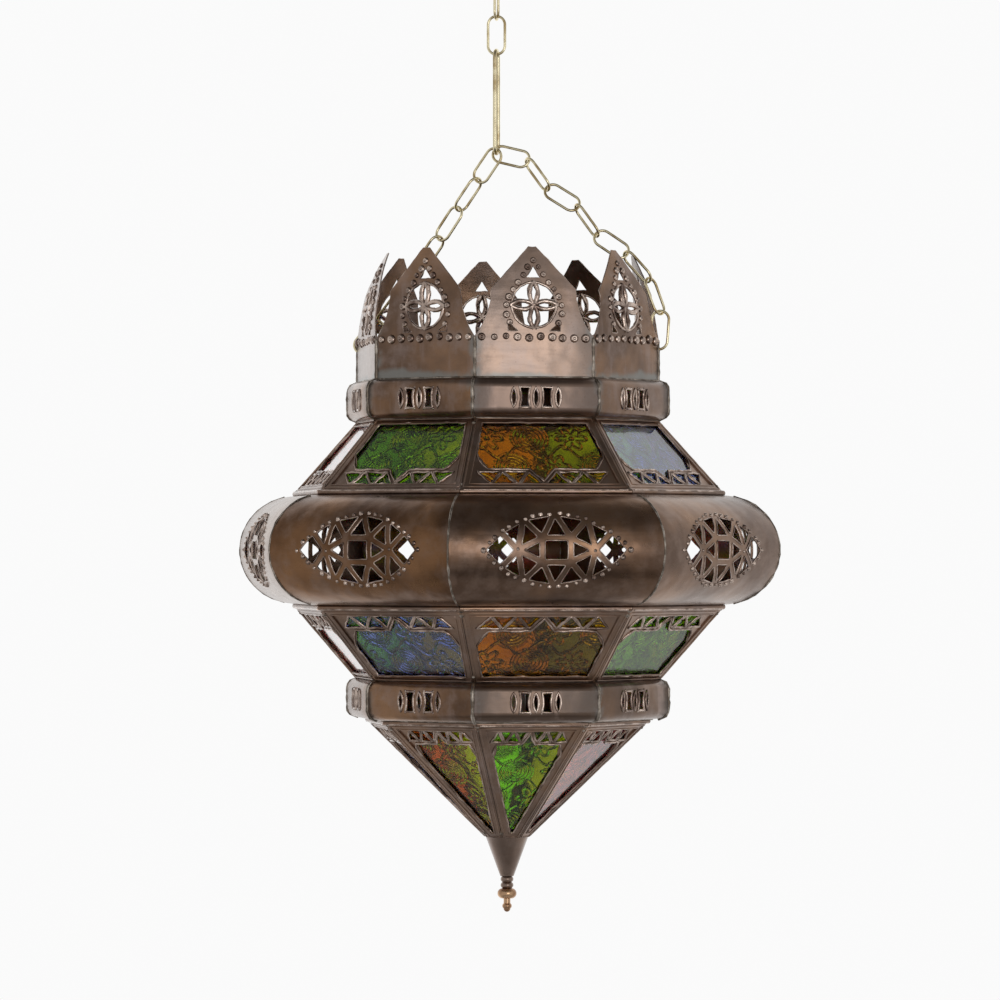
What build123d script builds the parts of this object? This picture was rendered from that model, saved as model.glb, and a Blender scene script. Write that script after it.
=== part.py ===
from build123d import *
from dataclasses import dataclass
import math
import os

os.makedirs("parts", exist_ok=True)

# Eight-sided hanging lantern of pierced copper sheet with coloured glass, hung on a brass bridle chain.
# Millimetres, +Z up. The origin is the top of the hanging ring's inside, where the ring sits on its hook.
# The bridle lies in the XZ plane, and two corners of the octagon point along +X and -X.

# Octagon and sheet
side_count = 8
sheet = 0.8
seam_gap = 0.1
solder_gap = 0.1

# Belly, the half-round widest tier
belly_half_height = 35.2
belly_apothem = 166.3
belly_edge_apothem = 133.5
belly_flange = 9.0

# Pierced lens in each belly panel
lens_half_width = 47.2
lens_half_height = 23.2
lens_bar = 3.3
lens_corner = 0.6
hub_offset = 24.5
square_half_width = 9.0
square_half_height = 7.6
inner_rim_offset = 20.5
outer_rim_offset = 35.5

# Glazed tiers
upper_tier_height = 48.6
lower_tier_height = 48.4
bottom_tier_height = 77.4
belly_setback = 0.9
upper_setback = 0.9
lower_overhang = 0.3
bottom_setback = 5.4
cone_cover = 1.2
frame_wall = 1.2
pane_pocket = 3.2
pane_clearance = 0.3
rear_lip = 3.0
border_width = 5.4
border_rise = 0.7
rim_radius = 1.8

# Pierced lace along the wide edge of every glazed frame
lace_base = 8.0
lace_height = 10.0
lace_bar = 2.2
lace_cells = 2
gusset_rise = 13.0

# Bands
band_height = 25.5
band_apothem = 99.2
band_round = 6.5
band_depth = 14.2
slot_height = 12.6
slot_lens_width = 3.6
slot_block_width = 7.0
slot_block_waist = 5.0
slot_pitch = 7.2

# Crown
crown_overhang = 0.3
skirt_height = 25.5
petal_height = 57.7
petal_shoulder_height = 30.5
petal_shoulder_half = 27.2
petal_waist_height = 12.5
petal_waist_half = 31.0
petal_tip_half = 2.5
petal_leans = [9.0, 12.0, 5.0, 8.0, 14.0, 1.5, 7.0, 10.0]
hook_hole_radius = 1.9
hook_hole_drop = 5.0

# Pierced rose in each petal
rose_height = 20.4
rose_radius = 15.3
arm_width = 7.6
arm_overrun = 2.6
arm_slot_width = 3.3
arm_slot_length = 9.0
spandrel_inner = 10.0
spandrel_outer = 17.0
spandrel_low = 3.8
spandrel_high = 10.2
peak_low = 38.0
peak_high = 45.0
peak_half = 4.4

# Tip cone and finial
cone_height = 25.4
cone_top_radius = 13.8
cone_end_radius = 4.4
cone_floor = 1.4
stud_radius = 1.5
stud_clearance = 0.1
collar_height = 7.8
collar_radius = 4.2
collar_waist = 3.0
finial_ball_radius = 6.2
finial_ball_height = 6.6
finial_neck_radius = 2.2
finial_neck_height = 3.2
finial_bead_radius = 3.1
finial_bead_height = 3.4

# Candle seat
strap_width = 14.0
strap_thickness = 1.5
strap_end_gap = 0.5
cup_bore_radius = 11.2
cup_wall = 1.0
cup_height = 15.0
rivet_radius = 2.0
rivet_head_radius = 3.6
rivet_head_height = 1.0
rivet_clearance = 0.1

# Chain
ring_radius = 15.0
ring_wire = 3.0
link_length = 26.7
link_width = 13.0
link_wire = 1.8
long_link_length = 69.8
long_link_width = 13.0
long_link_wire = 2.6
link_clearance = 0.3
apex_spread = 1.3
left_slopes = [56, 57, 58, 57, 55, 54, 53]
left_rolls = [15, -62, 30, -55, 35, -65, 0]
right_slopes = [20, 60, 38, 60, 40, 54, 76, 100]
right_rolls = [-15, 55, -30, 60, -25, 50, -65, 0]

# Glass colour of each panel, counted anticlockwise from the one after +X
upper_glass = ["red", "green", "amber", "blue", "red", "green", "amber", "blue"]
lower_glass = ["red", "blue", "amber", "green", "red", "blue", "amber", "green"]
bottom_glass = ["blue", "amber", "green", "red", "blue", "amber", "green", "red"]

# Worked-out angles and heights, the heights from the belly's middle
half_angle = math.pi / side_count
half_tan = math.tan(half_angle)
frame_depth = 2 * sheet + pane_pocket
band_flat_apothem = band_apothem - band_round
band_flange_apothem = band_apothem - band_depth
crown_apothem = band_flat_apothem + crown_overhang
tier_wide_apothem = belly_edge_apothem - belly_setback
upper_narrow_apothem = band_flat_apothem - upper_setback
lower_narrow_apothem = band_flat_apothem + lower_overhang
bottom_wide_apothem = band_flat_apothem - bottom_setback
bottom_narrow_apothem = cone_top_radius - cone_cover
upper_frame_z = belly_half_height + solder_gap
upper_band_z = upper_frame_z + upper_tier_height + solder_gap
crown_z = upper_band_z + band_height + solder_gap
bead_row_z = crown_z + skirt_height
lower_frame_z = -belly_half_height - solder_gap
lower_band_z = lower_frame_z - lower_tier_height - solder_gap - band_height
bottom_frame_z = lower_band_z - solder_gap
cone_z = bottom_frame_z - bottom_tier_height - solder_gap
hook_hole_z = bead_row_z - hook_hole_drop
hook_hole_x = (crown_apothem - sheet / 2) / math.cos(half_angle)
plan_reach = belly_apothem + belly_half_height
side_plane = Plane((0, 0, 0), x_dir=(0, 1, 0), z_dir=(1, 0, 0))


def wedge(low, high):
    """One eighth of the plan about +X between two heights, cut back for the corner seams."""
    apex = seam_gap / math.sin(half_angle)
    spread = (plan_reach - apex) * half_tan
    plan = Polygon((apex, 0), (plan_reach, -spread), (plan_reach, spread), align=None)
    return Pos(0, 0, low) * extrude(plan, high - low)


def around(piece, number):
    """The piece turned to panel number, counted anticlockwise from +X."""
    return Rot(0, 0, (number + 0.5) * 360 / side_count) * piece


def closed_face(*edges):
    """A face inside edges that follow on from each other."""
    return make_face(Curve() + list(edges))


def through(face):
    """A flat drawing on the panel's front, made a prism from the axis out past the panel."""
    return extrude(side_plane * face, plan_reach, dir=(1, 0, 0))


def section(face):
    """A section drawn with the radius along X and the height along Y, run along the panel's width."""
    return extrude(Plane.XZ * face, plan_reach * half_tan, both=True)


def lens(width, height):
    """A pointed lens standing upright."""
    top = (0, height / 2)
    foot = (0, -height / 2)
    return closed_face(ThreePointArc(top, (width / 2, 0), foot), ThreePointArc(foot, (-width / 2, 0), top))


def waisted_block(width, waist, height):
    """An upright block whose two sides are drawn in at the middle."""
    x = width / 2
    y = height / 2
    return closed_face(
        Line((-x, y), (x, y)),
        ThreePointArc((x, y), (waist / 2, 0), (x, -y)),
        Line((x, -y), (-x, -y)),
        ThreePointArc((-x, -y), (-waist / 2, 0), (-x, y)),
    )


def petal_outline():
    """Front outline of a crown panel: a square skirt, ogee sides and a gable with a blunt tip."""
    half = crown_apothem * half_tan
    foot = crown_z
    row = bead_row_z
    shoulder = (petal_shoulder_half, row + petal_shoulder_height)
    tip = (petal_tip_half, row + petal_height)
    waist = (petal_waist_half, row + petal_waist_height)
    return closed_face(
        Line((-half, foot), (half, foot)),
        Line((half, foot), (half, row)),
        ThreePointArc((half, row), waist, shoulder),
        Line(shoulder, tip),
        Line(tip, (-tip[0], tip[1])),
        Line((-tip[0], tip[1]), (-shoulder[0], shoulder[1])),
        ThreePointArc((-shoulder[0], shoulder[1]), (-waist[0], waist[1]), (-half, row)),
        Line((-half, row), (-half, foot)),
    )


def petal_rose():
    """Pierced openings of a petal: a four-armed rose, two corner spandrels and a peak."""
    arm = Pos(0, rose_radius / 2) * lens(arm_width, rose_radius + 2 * arm_overrun)
    slot = Pos(0, rose_radius / 2) * lens(arm_slot_width, arm_slot_length)
    rose = Circle(rose_radius)
    for quarter in range(4):
        rose = rose - Rot(0, 0, 90 * quarter) * arm
    for quarter in range(4):
        rose = rose + Rot(0, 0, 90 * quarter) * slot
    corner = Polygon(
        (spandrel_inner, spandrel_low), (spandrel_outer, spandrel_low), (spandrel_outer, spandrel_high), align=None
    )
    peak = Polygon((-peak_half, peak_low), (peak_half, peak_low), (0, peak_high), align=None)
    openings = Pos(0, rose_height) * rose + corner + mirror(corner, Plane.YZ) + peak
    return Pos(0, bead_row_z) * openings


def crown_panel(lean):
    """A crown panel about +X: a flat skirt with a petal that bends inwards by lean at its tip."""
    bend = (petal_height**2 + lean**2) / (2 * lean)
    turn = math.asin(petal_height / bend)
    centre = crown_apothem - bend

    def on_arc(radius, angle):
        return (centre + radius * math.cos(angle), bead_row_z + radius * math.sin(angle))

    inner = bend - sheet
    profile = closed_face(
        Line((crown_apothem, crown_z), (crown_apothem, bead_row_z)),
        ThreePointArc((crown_apothem, bead_row_z), on_arc(bend, turn / 2), on_arc(bend, turn)),
        Line(on_arc(bend, turn), on_arc(inner, turn)),
        ThreePointArc(on_arc(inner, turn), on_arc(inner, turn / 2), (crown_apothem - sheet, bead_row_z)),
        Line((crown_apothem - sheet, bead_row_z), (crown_apothem - sheet, crown_z)),
        Line((crown_apothem - sheet, crown_z), (crown_apothem, crown_z)),
    )
    bent = section(profile) & through(petal_outline())
    return (bent & wedge(crown_z, bead_row_z + petal_height)) - through(petal_rose())


def band_segment(low):
    """One side of a band: a rolled gutter of sheet with a group of five slots."""
    middle = low + band_height / 2

    def gutter(apothem, flange, height, rounding):
        box = Pos((apothem + flange) / 2, middle) * Rectangle(apothem - flange, height)
        return fillet(box.vertices().group_by(Axis.X)[-1], rounding)

    outside = gutter(band_apothem, band_flange_apothem, band_height, band_round)
    inside = gutter(
        band_apothem - sheet, band_flange_apothem - sheet, band_height - 2 * sheet, band_round - sheet
    )
    slots = []
    for place in range(-2, 3):
        if place % 2:
            shape = waisted_block(slot_block_width, slot_block_waist, slot_height)
        else:
            shape = lens(slot_lens_width, slot_height)
        slots.append(through(Pos(place * slot_pitch, middle) * shape))
    segment = section(outside - inside) & wedge(low, low + band_height)
    return segment - slots


def lens_openings():
    """Openings of the belly's lens: a lattice of bars from two hubs, a middle square and the rim."""
    sag = (lens_half_width**2 + lens_half_height**2) / (2 * lens_half_height)

    def rim(x):
        return (x, math.sqrt(sag**2 - x**2) - sag + lens_half_height)

    top = rim(0)
    near = rim(inner_rim_offset)
    far = rim(outer_rim_offset)
    tip = (lens_half_width, 0)
    hub = (hub_offset, 0)
    square = (square_half_width, square_half_height)

    def flip(point, x_sign, y_sign):
        return (point[0] * x_sign, point[1] * y_sign)

    cells = [[flip(square, x, y) for x, y in ((1, 1), (-1, 1), (-1, -1), (1, -1))]]
    for y in (1, -1):
        cells.append([flip(top, 1, y), flip(square, -1, y), flip(square, 1, y)])
    for x in (1, -1):
        cells.append([flip(hub, x, 1), flip(square, x, 1), flip(square, x, -1)])
        cells.append([flip(hub, x, 1), flip(far, x, -1), flip(tip, x, 1), flip(far, x, 1)])
        for y in (1, -1):
            cells.append([flip(top, x, y), flip(square, x, y), flip(near, x, y)])
            cells.append([flip(near, x, y), flip(square, x, y), flip(hub, x, y)])
            cells.append([flip(hub, x, y), flip(far, x, y), flip(near, x, y)])
    faces = []
    for cell in cells:
        opening = offset(Polygon(*cell, align=None), -lens_bar / 2, kind=Kind.INTERSECTION)
        faces.append(fillet(opening.vertices(), lens_corner))
    return faces


def belly_panel():
    """One side of the belly: a half-round sheet with two flanges and a pierced lens."""

    def bulge(apothem, edge, flange, half_height):
        return closed_face(
            Line((flange, half_height), (edge, half_height)),
            ThreePointArc((edge, half_height), (apothem, 0), (edge, -half_height)),
            Line((edge, -half_height), (flange, -half_height)),
            Line((flange, -half_height), (flange, half_height)),
        )

    flange = belly_edge_apothem - belly_flange
    outside = bulge(belly_apothem, belly_edge_apothem, flange, belly_half_height)
    inside = bulge(belly_apothem - sheet, belly_edge_apothem, flange - sheet, belly_half_height - sheet)
    panel = section(outside - inside) & wedge(-belly_half_height, belly_half_height)
    return panel - [through(face) for face in lens_openings()]


@dataclass(frozen=True)
class Tier:
    """A glazed tier, from the edge where its panels are wide to the edge where they are narrow."""

    wide_apothem: float
    wide_z: float
    narrow_apothem: float
    narrow_z: float

    @property
    def slant(self):
        """Length of a panel along its slope."""
        return math.hypot(self.narrow_apothem - self.wide_apothem, self.narrow_z - self.wide_z)

    @property
    def slope(self):
        """Outward and upward parts of the panel's outward normal."""
        upward = math.copysign(1, self.narrow_z - self.wide_z)
        out = abs(self.narrow_z - self.wide_z) / self.slant
        return out, upward * (self.wide_apothem - self.narrow_apothem) / self.slant

    @property
    def plane(self):
        """Front of the panel about +X, with Y from the wide edge up its slope."""
        out, up = self.slope
        along = Vector(self.narrow_apothem - self.wide_apothem, 0, self.narrow_z - self.wide_z)
        normal = Vector(out, 0, up)
        return Plane((self.wide_apothem, 0, self.wide_z), x_dir=along.cross(normal), z_dir=normal)

    @property
    def mitre(self):
        """Half width lost to the corner mitre at the back of the frame."""
        return frame_depth * self.slope[0] * half_tan

    @property
    def heel(self):
        """Length lost to the level cut at the wide edge, at the back of the frame."""
        out, up = self.slope
        return frame_depth * abs(up) / out

    def half_width(self, y):
        """Half width of the panel's front at a distance from its wide edge."""
        share = y / self.slant
        return (self.wide_apothem * (1 - share) + self.narrow_apothem * share) * half_tan

    def trapezoid(self, low, high, inset):
        """A panel-shaped drawing between two distances from the wide edge, inset from its sides."""
        a = self.half_width(low) - inset
        b = self.half_width(high) - inset
        return Polygon((-a, low), (a, low), (b, high), (-b, high), align=None)

    def prism(self, face, back, front):
        """A drawing on the panel, from one distance behind its front to another."""
        return self.plane * Pos(0, 0, -back) * extrude(face, back - front, dir=(0, 0, 1))

    def reach(self, inset):
        """How far along the slope a drawing that is inset from the sides can go before it closes up."""
        taper = (self.half_width(0) - self.half_width(self.slant)) / self.slant
        return min(self.slant - frame_wall, (self.half_width(0) - inset - lace_bar / 2) / taper)

    def pocket_ends(self):
        """Where the pane's pocket starts and ends along the slope."""
        return self.heel + frame_wall, self.reach(self.mitre + frame_wall)


def lace_openings(tier):
    """Window and lace of a glazed frame, drawn on the panel's front."""
    usable = tier.half_width(lace_base) - border_width
    cell = usable / (lace_cells + 0.75)
    top = lace_base + lace_height
    sill = top + lace_bar
    reach = cell / 2 - lace_bar / 2
    cuts = []
    for number in range(lace_cells):
        peak = (number + 0.5) * cell
        dip = (number + 1) * cell
        for x in (1, -1):
            cuts.append([(x * (peak - reach), lace_base), (x * (peak + reach), lace_base), (x * peak, top)])
            cuts.append([(x * (dip - reach), top), (x * (dip + reach), top), (x * dip, lace_base)])
    high = min(tier.pocket_ends()[1] - rear_lip, tier.reach(border_width))
    haunch = sill + gusset_rise
    side = tier.half_width(haunch) - border_width
    head = tier.half_width(high) - border_width
    spring = lace_cells * cell
    waist = ((side + spring) / 2 - lace_bar / 2, (haunch + sill) / 2 - lace_bar / 2)
    window = closed_face(
        Line((0, lace_base + lace_bar), (reach, sill)),
        Line((reach, sill), (spring, sill)),
        ThreePointArc((spring, sill), waist, (side, haunch)),
        Line((side, haunch), (head, high)),
        Line((head, high), (-head, high)),
        Line((-head, high), (-side, haunch)),
        ThreePointArc((-side, haunch), (-waist[0], waist[1]), (-spring, sill)),
        Line((-spring, sill), (-reach, sill)),
        Line((-reach, sill), (0, lace_base + lace_bar)),
    )
    return [window] + [Polygon(*cut, align=None) for cut in cuts]


def glazed_frame(tier):
    """One glazed frame: pierced front, raised border, rolled rim, and a pocket for the pane."""
    low = min(tier.wide_z, tier.narrow_z)
    high = max(tier.wide_z, tier.narrow_z)
    start, end = tier.pocket_ends()
    side = tier.mitre + frame_wall
    full = Pos(0, tier.slant / 2) * Rectangle(2 * tier.half_width(0), tier.slant + 4 * frame_depth)
    inner = tier.trapezoid(lace_base, min(end, tier.reach(border_width)), border_width)
    border = tier.trapezoid(0, tier.slant, 0) - inner
    rim = tier.plane * Pos(0, rim_radius, 0) * Rot(0, 90, 0) * Cylinder(rim_radius, 2 * tier.half_width(0))
    body = tier.prism(full, frame_depth, 0) + tier.prism(border, 0, -border_rise) + rim
    body = body & wedge(low, high)
    pocket = tier.trapezoid(start, end, side)
    rear_end = min(end - rear_lip, tier.reach(side + rear_lip))
    rear = tier.trapezoid(start + rear_lip, rear_end, side + rear_lip)
    body = body - tier.prism(pocket, sheet + pane_pocket, sheet)
    body = body - tier.prism(rear, 2 * frame_depth, sheet)
    return body - [tier.prism(cut, 2 * sheet, -2 * rim_radius) for cut in lace_openings(tier)]


def glass_pane(tier):
    """The pane that lies loose in a glazed frame's pocket."""
    start, end = tier.pocket_ends()
    side = tier.mitre + frame_wall + pane_clearance
    outline = tier.trapezoid(start + pane_clearance, end - pane_clearance, side)
    return tier.prism(outline, sheet + pane_pocket - pane_clearance, sheet + pane_clearance)


def turned(*edges):
    """A solid turned about Z from edges drawn with the radius along X and the height along Y."""
    return revolve(Plane.XZ * closed_face(*edges), Axis.Z)


def lathe(points):
    """A solid turned about Z from straight runs between points."""
    return revolve(Plane.XZ * Polygon(*points, align=None), Axis.Z)


def tip_cone():
    """Hollow cone that closes the pyramid, with a floor that the finial's stud passes through."""
    end = cone_z - cone_height
    hole = stud_radius + stud_clearance
    taper = (cone_top_radius - cone_end_radius) / cone_height
    floor_radius = cone_end_radius + taper * cone_floor - sheet
    return lathe([
        (cone_top_radius, cone_z),
        (cone_end_radius, end),
        (hole, end),
        (hole, end + cone_floor),
        (floor_radius, end + cone_floor),
        (cone_top_radius - sheet, cone_z),
    ])


def finial_collar():
    """Double-ringed collar between the cone and the finial."""
    top = cone_z - cone_height - solder_gap
    middle = top - collar_height / 2
    end = top - collar_height
    bore = stud_radius + stud_clearance
    quarter = collar_height / 4
    return turned(
        Line((bore, top), (collar_waist, top)),
        ThreePointArc((collar_waist, top), (collar_radius, top - quarter), (collar_waist, middle)),
        ThreePointArc((collar_waist, middle), (collar_radius, middle - quarter), (collar_waist, end)),
        Line((collar_waist, end), (bore, end)),
        Line((bore, end), (bore, top)),
    )


def finial():
    """Brass finial: a stud through collar and cone, a flattened ball, a neck and a double bead."""
    top = cone_z - cone_height - collar_height - 2 * solder_gap
    stud_end = cone_z - cone_height + 2 * cone_floor
    ball_end = top - finial_ball_height
    neck_end = ball_end - finial_neck_height
    bead_end = neck_end - finial_bead_height
    neck = finial_neck_radius
    tip = bead_end - neck
    return turned(
        Line((0, stud_end), (stud_radius, stud_end)),
        Line((stud_radius, stud_end), (stud_radius, top)),
        Line((stud_radius, top), (collar_waist, top)),
        ThreePointArc((collar_waist, top), (finial_ball_radius, (top + ball_end) / 2), (neck, ball_end)),
        Line((neck, ball_end), (neck, neck_end)),
        ThreePointArc((neck, neck_end), (finial_bead_radius, (neck_end + bead_end) / 2), (neck, bead_end)),
        CenterArc((0, bead_end), neck, -90, 90),
        Line((0, tip), (0, stud_end)),
    )


def candle_strap():
    """Flat strap that rests on the lower band's bottom flange, corner to corner, under the candle cup."""
    half_length = (band_flat_apothem - strap_width / 2 * math.sin(half_angle)) / math.cos(half_angle) - strap_end_gap
    strap = Box(2 * half_length, strap_width, strap_thickness) - Cylinder(
        rivet_radius + rivet_clearance, 2 * strap_thickness
    )
    return Pos(0, 0, strap_z + strap_thickness / 2) * strap


def candle_cup():
    """Open cup with a flat floor, bored for its rivet."""
    floor = strap_z + strap_thickness + solder_gap
    hole = rivet_radius + rivet_clearance
    outer = cup_bore_radius + cup_wall
    return lathe([
        (hole, floor),
        (outer, floor),
        (outer, floor + cup_height),
        (cup_bore_radius, floor + cup_height),
        (cup_bore_radius, floor + cup_wall),
        (hole, floor + cup_wall),
    ])


def cup_rivet():
    """Rivet through the cup's floor and the strap, headed below and flush with the floor inside the cup."""
    low = strap_z - solder_gap
    high = strap_z + strap_thickness + solder_gap + cup_wall
    return lathe([
        (0, low - rivet_head_height),
        (rivet_head_radius, low - rivet_head_height),
        (rivet_head_radius, low),
        (rivet_radius, low),
        (rivet_radius, high),
        (0, high),
    ])


def chain_link(length, width, wire):
    """A closed link of round wire in the XY plane, its long axis along X."""
    path = SlotOverall(length - wire, width - wire).face().outer_wire()
    start = Plane(path @ 0, z_dir=path % 0)
    return sweep(start * Circle(wire / 2), path=path)


def set_link(link, centre, along, roll):
    """A link with its long axis along a direction, rolled about it from facing the front."""
    normal = Vector(0, 1, 0).rotate(Axis((0, 0, 0), along), roll)
    return Plane(centre, x_dir=along, z_dir=normal.cross(along).cross(along) * -1) * link


# Chain, worked out from the hook holes upwards in the lantern's own frame
core_length = link_length - link_wire
apex_overlap = (long_link_wire + link_wire) / 2 + link_clearance
link_overlap = (link_wire + link_clearance) / 2


def chain_steps(slopes, side):
    """Directions and pitches of a bridle chain's links from the apex to the hook hole."""
    steps = []
    for number, slope in enumerate(slopes):
        begin = apex_overlap if number == 0 else link_overlap
        finish = 0 if number == len(slopes) - 1 else link_overlap
        pitch = core_length - begin - finish
        sway = -side * math.asin(apex_spread / pitch) if number == 0 else 0
        angle = math.radians(slope)
        along = Vector(
            side * math.cos(angle) * math.cos(sway), math.sin(sway), -math.sin(angle) * math.cos(sway)
        )
        steps.append((along, begin, pitch))
    return steps


def chord(steps):
    """Straight vector from a chain's first point to its last."""
    total = Vector(0, 0, 0)
    for along, _, pitch in steps:
        total += along * pitch
    return total


left_steps = chain_steps(left_slopes, -1)
right_steps = chain_steps(right_slopes, 1)
left_chord = math.hypot(chord(left_steps).X, chord(left_steps).Z)
right_chord = math.hypot(chord(right_steps).X, chord(right_steps).Z)
hook_span = 2 * hook_hole_x
apex_from_left = (left_chord**2 - right_chord**2 + hook_span**2) / (2 * hook_span)
apex_rise = math.sqrt(left_chord**2 - apex_from_left**2)
apex_x = apex_from_left - hook_hole_x
long_link_bend = (long_link_width - long_link_wire) / 2
apex_lift = long_link_bend - math.sqrt(long_link_bend**2 - apex_spread**2)

# Heights in the hanging frame, from the ring down to the belly's middle
ring_z = -(ring_radius - ring_wire / 2)
ring_foot_z = ring_z - ring_radius
top_link_high = ring_foot_z + (ring_wire + link_wire) / 2 + link_clearance
mid_link_high = top_link_high - core_length + link_wire + link_clearance
long_core_length = long_link_length - long_link_wire
long_link_high = mid_link_high - core_length + (link_wire + long_link_wire) / 2 + link_clearance
apex_z = long_link_high - long_core_length
belly_z = apex_z + apex_lift - apex_rise - hook_hole_z
lantern_x = -apex_x
lantern_place = Pos(lantern_x, 0, belly_z)
strap_z = lower_band_z + sheet + solder_gap


def bridle_chain(steps, rolls, side):
    """Links of one bridle chain from the apex to its hook link, each with the point where it starts."""
    target = Vector(lantern_x + side * hook_hole_x, 0, belly_z + hook_hole_z)
    point = Vector(0, side * apex_spread, apex_z + apex_lift)
    goal = target - point
    run = chord(steps)
    correction = math.degrees(math.atan2(goal.X, goal.Z) - math.atan2(run.X, run.Z))
    link = chain_link(link_length, link_width, link_wire)
    links = []
    starts = []
    for (along, begin, pitch), roll in zip(steps, rolls):
        along = along.rotate(Axis.Y, correction)
        links.append(set_link(link, point + along * (core_length / 2 - begin), along, roll))
        starts.append(point)
        point += along * pitch
    return links, starts


left_links, left_starts = bridle_chain(left_steps, left_rolls, -1)
right_links, right_starts = bridle_chain(right_steps, right_rolls, 1)
plain_link = chain_link(link_length, link_width, link_wire)
long_link = chain_link(long_link_length, long_link_width, long_link_wire)
down = Vector(0, 0, -1)

parts = {}
parts["hanging_ring"] = Pos(0, 0, ring_z) * Rot(90, 0, 0) * Torus(ring_radius, ring_wire / 2)
parts["top_link"] = set_link(plain_link, (0, 0, top_link_high - core_length / 2), down, 90)
parts["mid_link"] = set_link(plain_link, (0, 0, mid_link_high - core_length / 2), down, 0)
parts["long_link"] = set_link(long_link, (0, 0, long_link_high - long_core_length / 2), down, 90)
parts["left_bridle_chain"] = Compound(left_links[:-1])
parts["right_bridle_chain"] = Compound(right_links[:-1])
parts["left_hook_link"] = left_links[-1]
parts["right_hook_link"] = right_links[-1]

# Sheet-metal shell
belly = belly_panel()
upper_tier = Tier(tier_wide_apothem, upper_frame_z, upper_narrow_apothem, upper_frame_z + upper_tier_height)
lower_tier = Tier(tier_wide_apothem, lower_frame_z, lower_narrow_apothem, lower_frame_z - lower_tier_height)
bottom_tier = Tier(
    bottom_wide_apothem, bottom_frame_z, bottom_narrow_apothem, bottom_frame_z - bottom_tier_height
)
glazing = {
    "upper_frame": (upper_tier, upper_glass),
    "lower_frame": (lower_tier, lower_glass),
    "bottom_frame": (bottom_tier, bottom_glass),
}
hook_holes = Pos(0, 0, hook_hole_z) * Rot(0, 90, 0) * Cylinder(hook_hole_radius, 3 * crown_apothem)
for number, lean in enumerate(petal_leans):
    panel = around(crown_panel(lean), number) - hook_holes
    parts[f"crown_panel_{number + 1}"] = lantern_place * panel
    parts[f"belly_panel_{number + 1}"] = lantern_place * around(belly, number)
panes = {"amber": [], "green": [], "blue": [], "red": []}
for name, (tier, colours) in glazing.items():
    frame = glazed_frame(tier)
    pane = glass_pane(tier)
    for number, colour in enumerate(colours):
        parts[f"{name}_{number + 1}"] = lantern_place * around(frame, number)
        panes[colour].append(lantern_place * around(pane, number))
for colour, solids in panes.items():
    parts[f"{colour}_panes"] = Compound(solids)
for name, low in (("upper_band", upper_band_z), ("lower_band", lower_band_z)):
    segment = band_segment(low)
    parts[name] = Compound([lantern_place * around(segment, number) for number in range(side_count)])
for piece in (tip_cone, finial_collar, finial, candle_strap, candle_cup, cup_rivet):
    parts[piece.__name__] = lantern_place * piece()

for name, shape in parts.items():
    export_step(shape, f"parts/{name}.step")

print("nodes", len(parts))
print("lantern axis x", round(lantern_x, 3), "belly z", round(belly_z, 3), "apex z", round(apex_z, 3))
print("ring foot z", round(ring_foot_z, 3), "top link foot z", round(top_link_high - core_length, 3))
print("long link top z", round(long_link_high, 3), "mid link foot z", round(mid_link_high - core_length, 3))
print("left rock point", left_starts[-1], "right rock point", right_starts[-1])
print("cup floor z", round(belly_z + strap_z + strap_thickness + solder_gap + cup_wall, 3))
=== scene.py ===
"""Looks of an eight-sided hanging lantern: pierced dark copper, pressed coloured glass and a brass chain."""

import logging
import math
import random
from collections.abc import Callable, Iterable, Sequence
from dataclasses import dataclass, field, replace
from enum import Enum
from typing import TypeAlias

import bpy
from mathutils import Matrix, Vector


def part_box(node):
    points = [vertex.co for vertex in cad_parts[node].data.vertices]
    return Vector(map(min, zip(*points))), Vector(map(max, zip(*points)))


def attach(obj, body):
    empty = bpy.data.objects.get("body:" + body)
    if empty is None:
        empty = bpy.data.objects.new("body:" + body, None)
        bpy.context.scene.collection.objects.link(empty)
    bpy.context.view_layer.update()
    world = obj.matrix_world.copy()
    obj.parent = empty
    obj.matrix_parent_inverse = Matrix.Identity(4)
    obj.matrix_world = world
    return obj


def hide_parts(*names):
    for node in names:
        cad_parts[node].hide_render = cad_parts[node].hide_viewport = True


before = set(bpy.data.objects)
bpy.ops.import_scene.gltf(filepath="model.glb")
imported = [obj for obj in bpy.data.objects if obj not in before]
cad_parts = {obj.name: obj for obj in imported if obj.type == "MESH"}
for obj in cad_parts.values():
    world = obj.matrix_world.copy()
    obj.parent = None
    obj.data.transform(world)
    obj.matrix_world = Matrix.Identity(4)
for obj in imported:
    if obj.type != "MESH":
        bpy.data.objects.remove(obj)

LOG = logging.getLogger("lantern")
LANTERN_BODY = "lantern"
SIDES = 8
Colour = tuple[float, float, float]
Point = tuple[float, float]
Line = list[Point]
Term: TypeAlias = "Sock | float"


class Slot(Enum):
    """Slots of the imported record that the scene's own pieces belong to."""

    COPPER = "dark_copper"
    AMBER = "amber_glass"
    GREEN = "green_glass"
    BLUE = "blue_glass"
    RED = "red_glass"


def operator(operation: str, swapped: bool = False) -> Callable[["Sock", Term], "Sock"]:
    """Makes an operator of the class below.

    Args:
        operation: Operation of its Math node.
        swapped: Whether the other value comes first, as in 1 - mask.

    Returns:
        The operator's method.
    """

    def apply(self: "Sock", other: Term) -> "Sock":
        """Result of the Math node."""
        return self.maths(operation, other, self) if swapped else self.maths(operation, self, other)

    return apply


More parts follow.
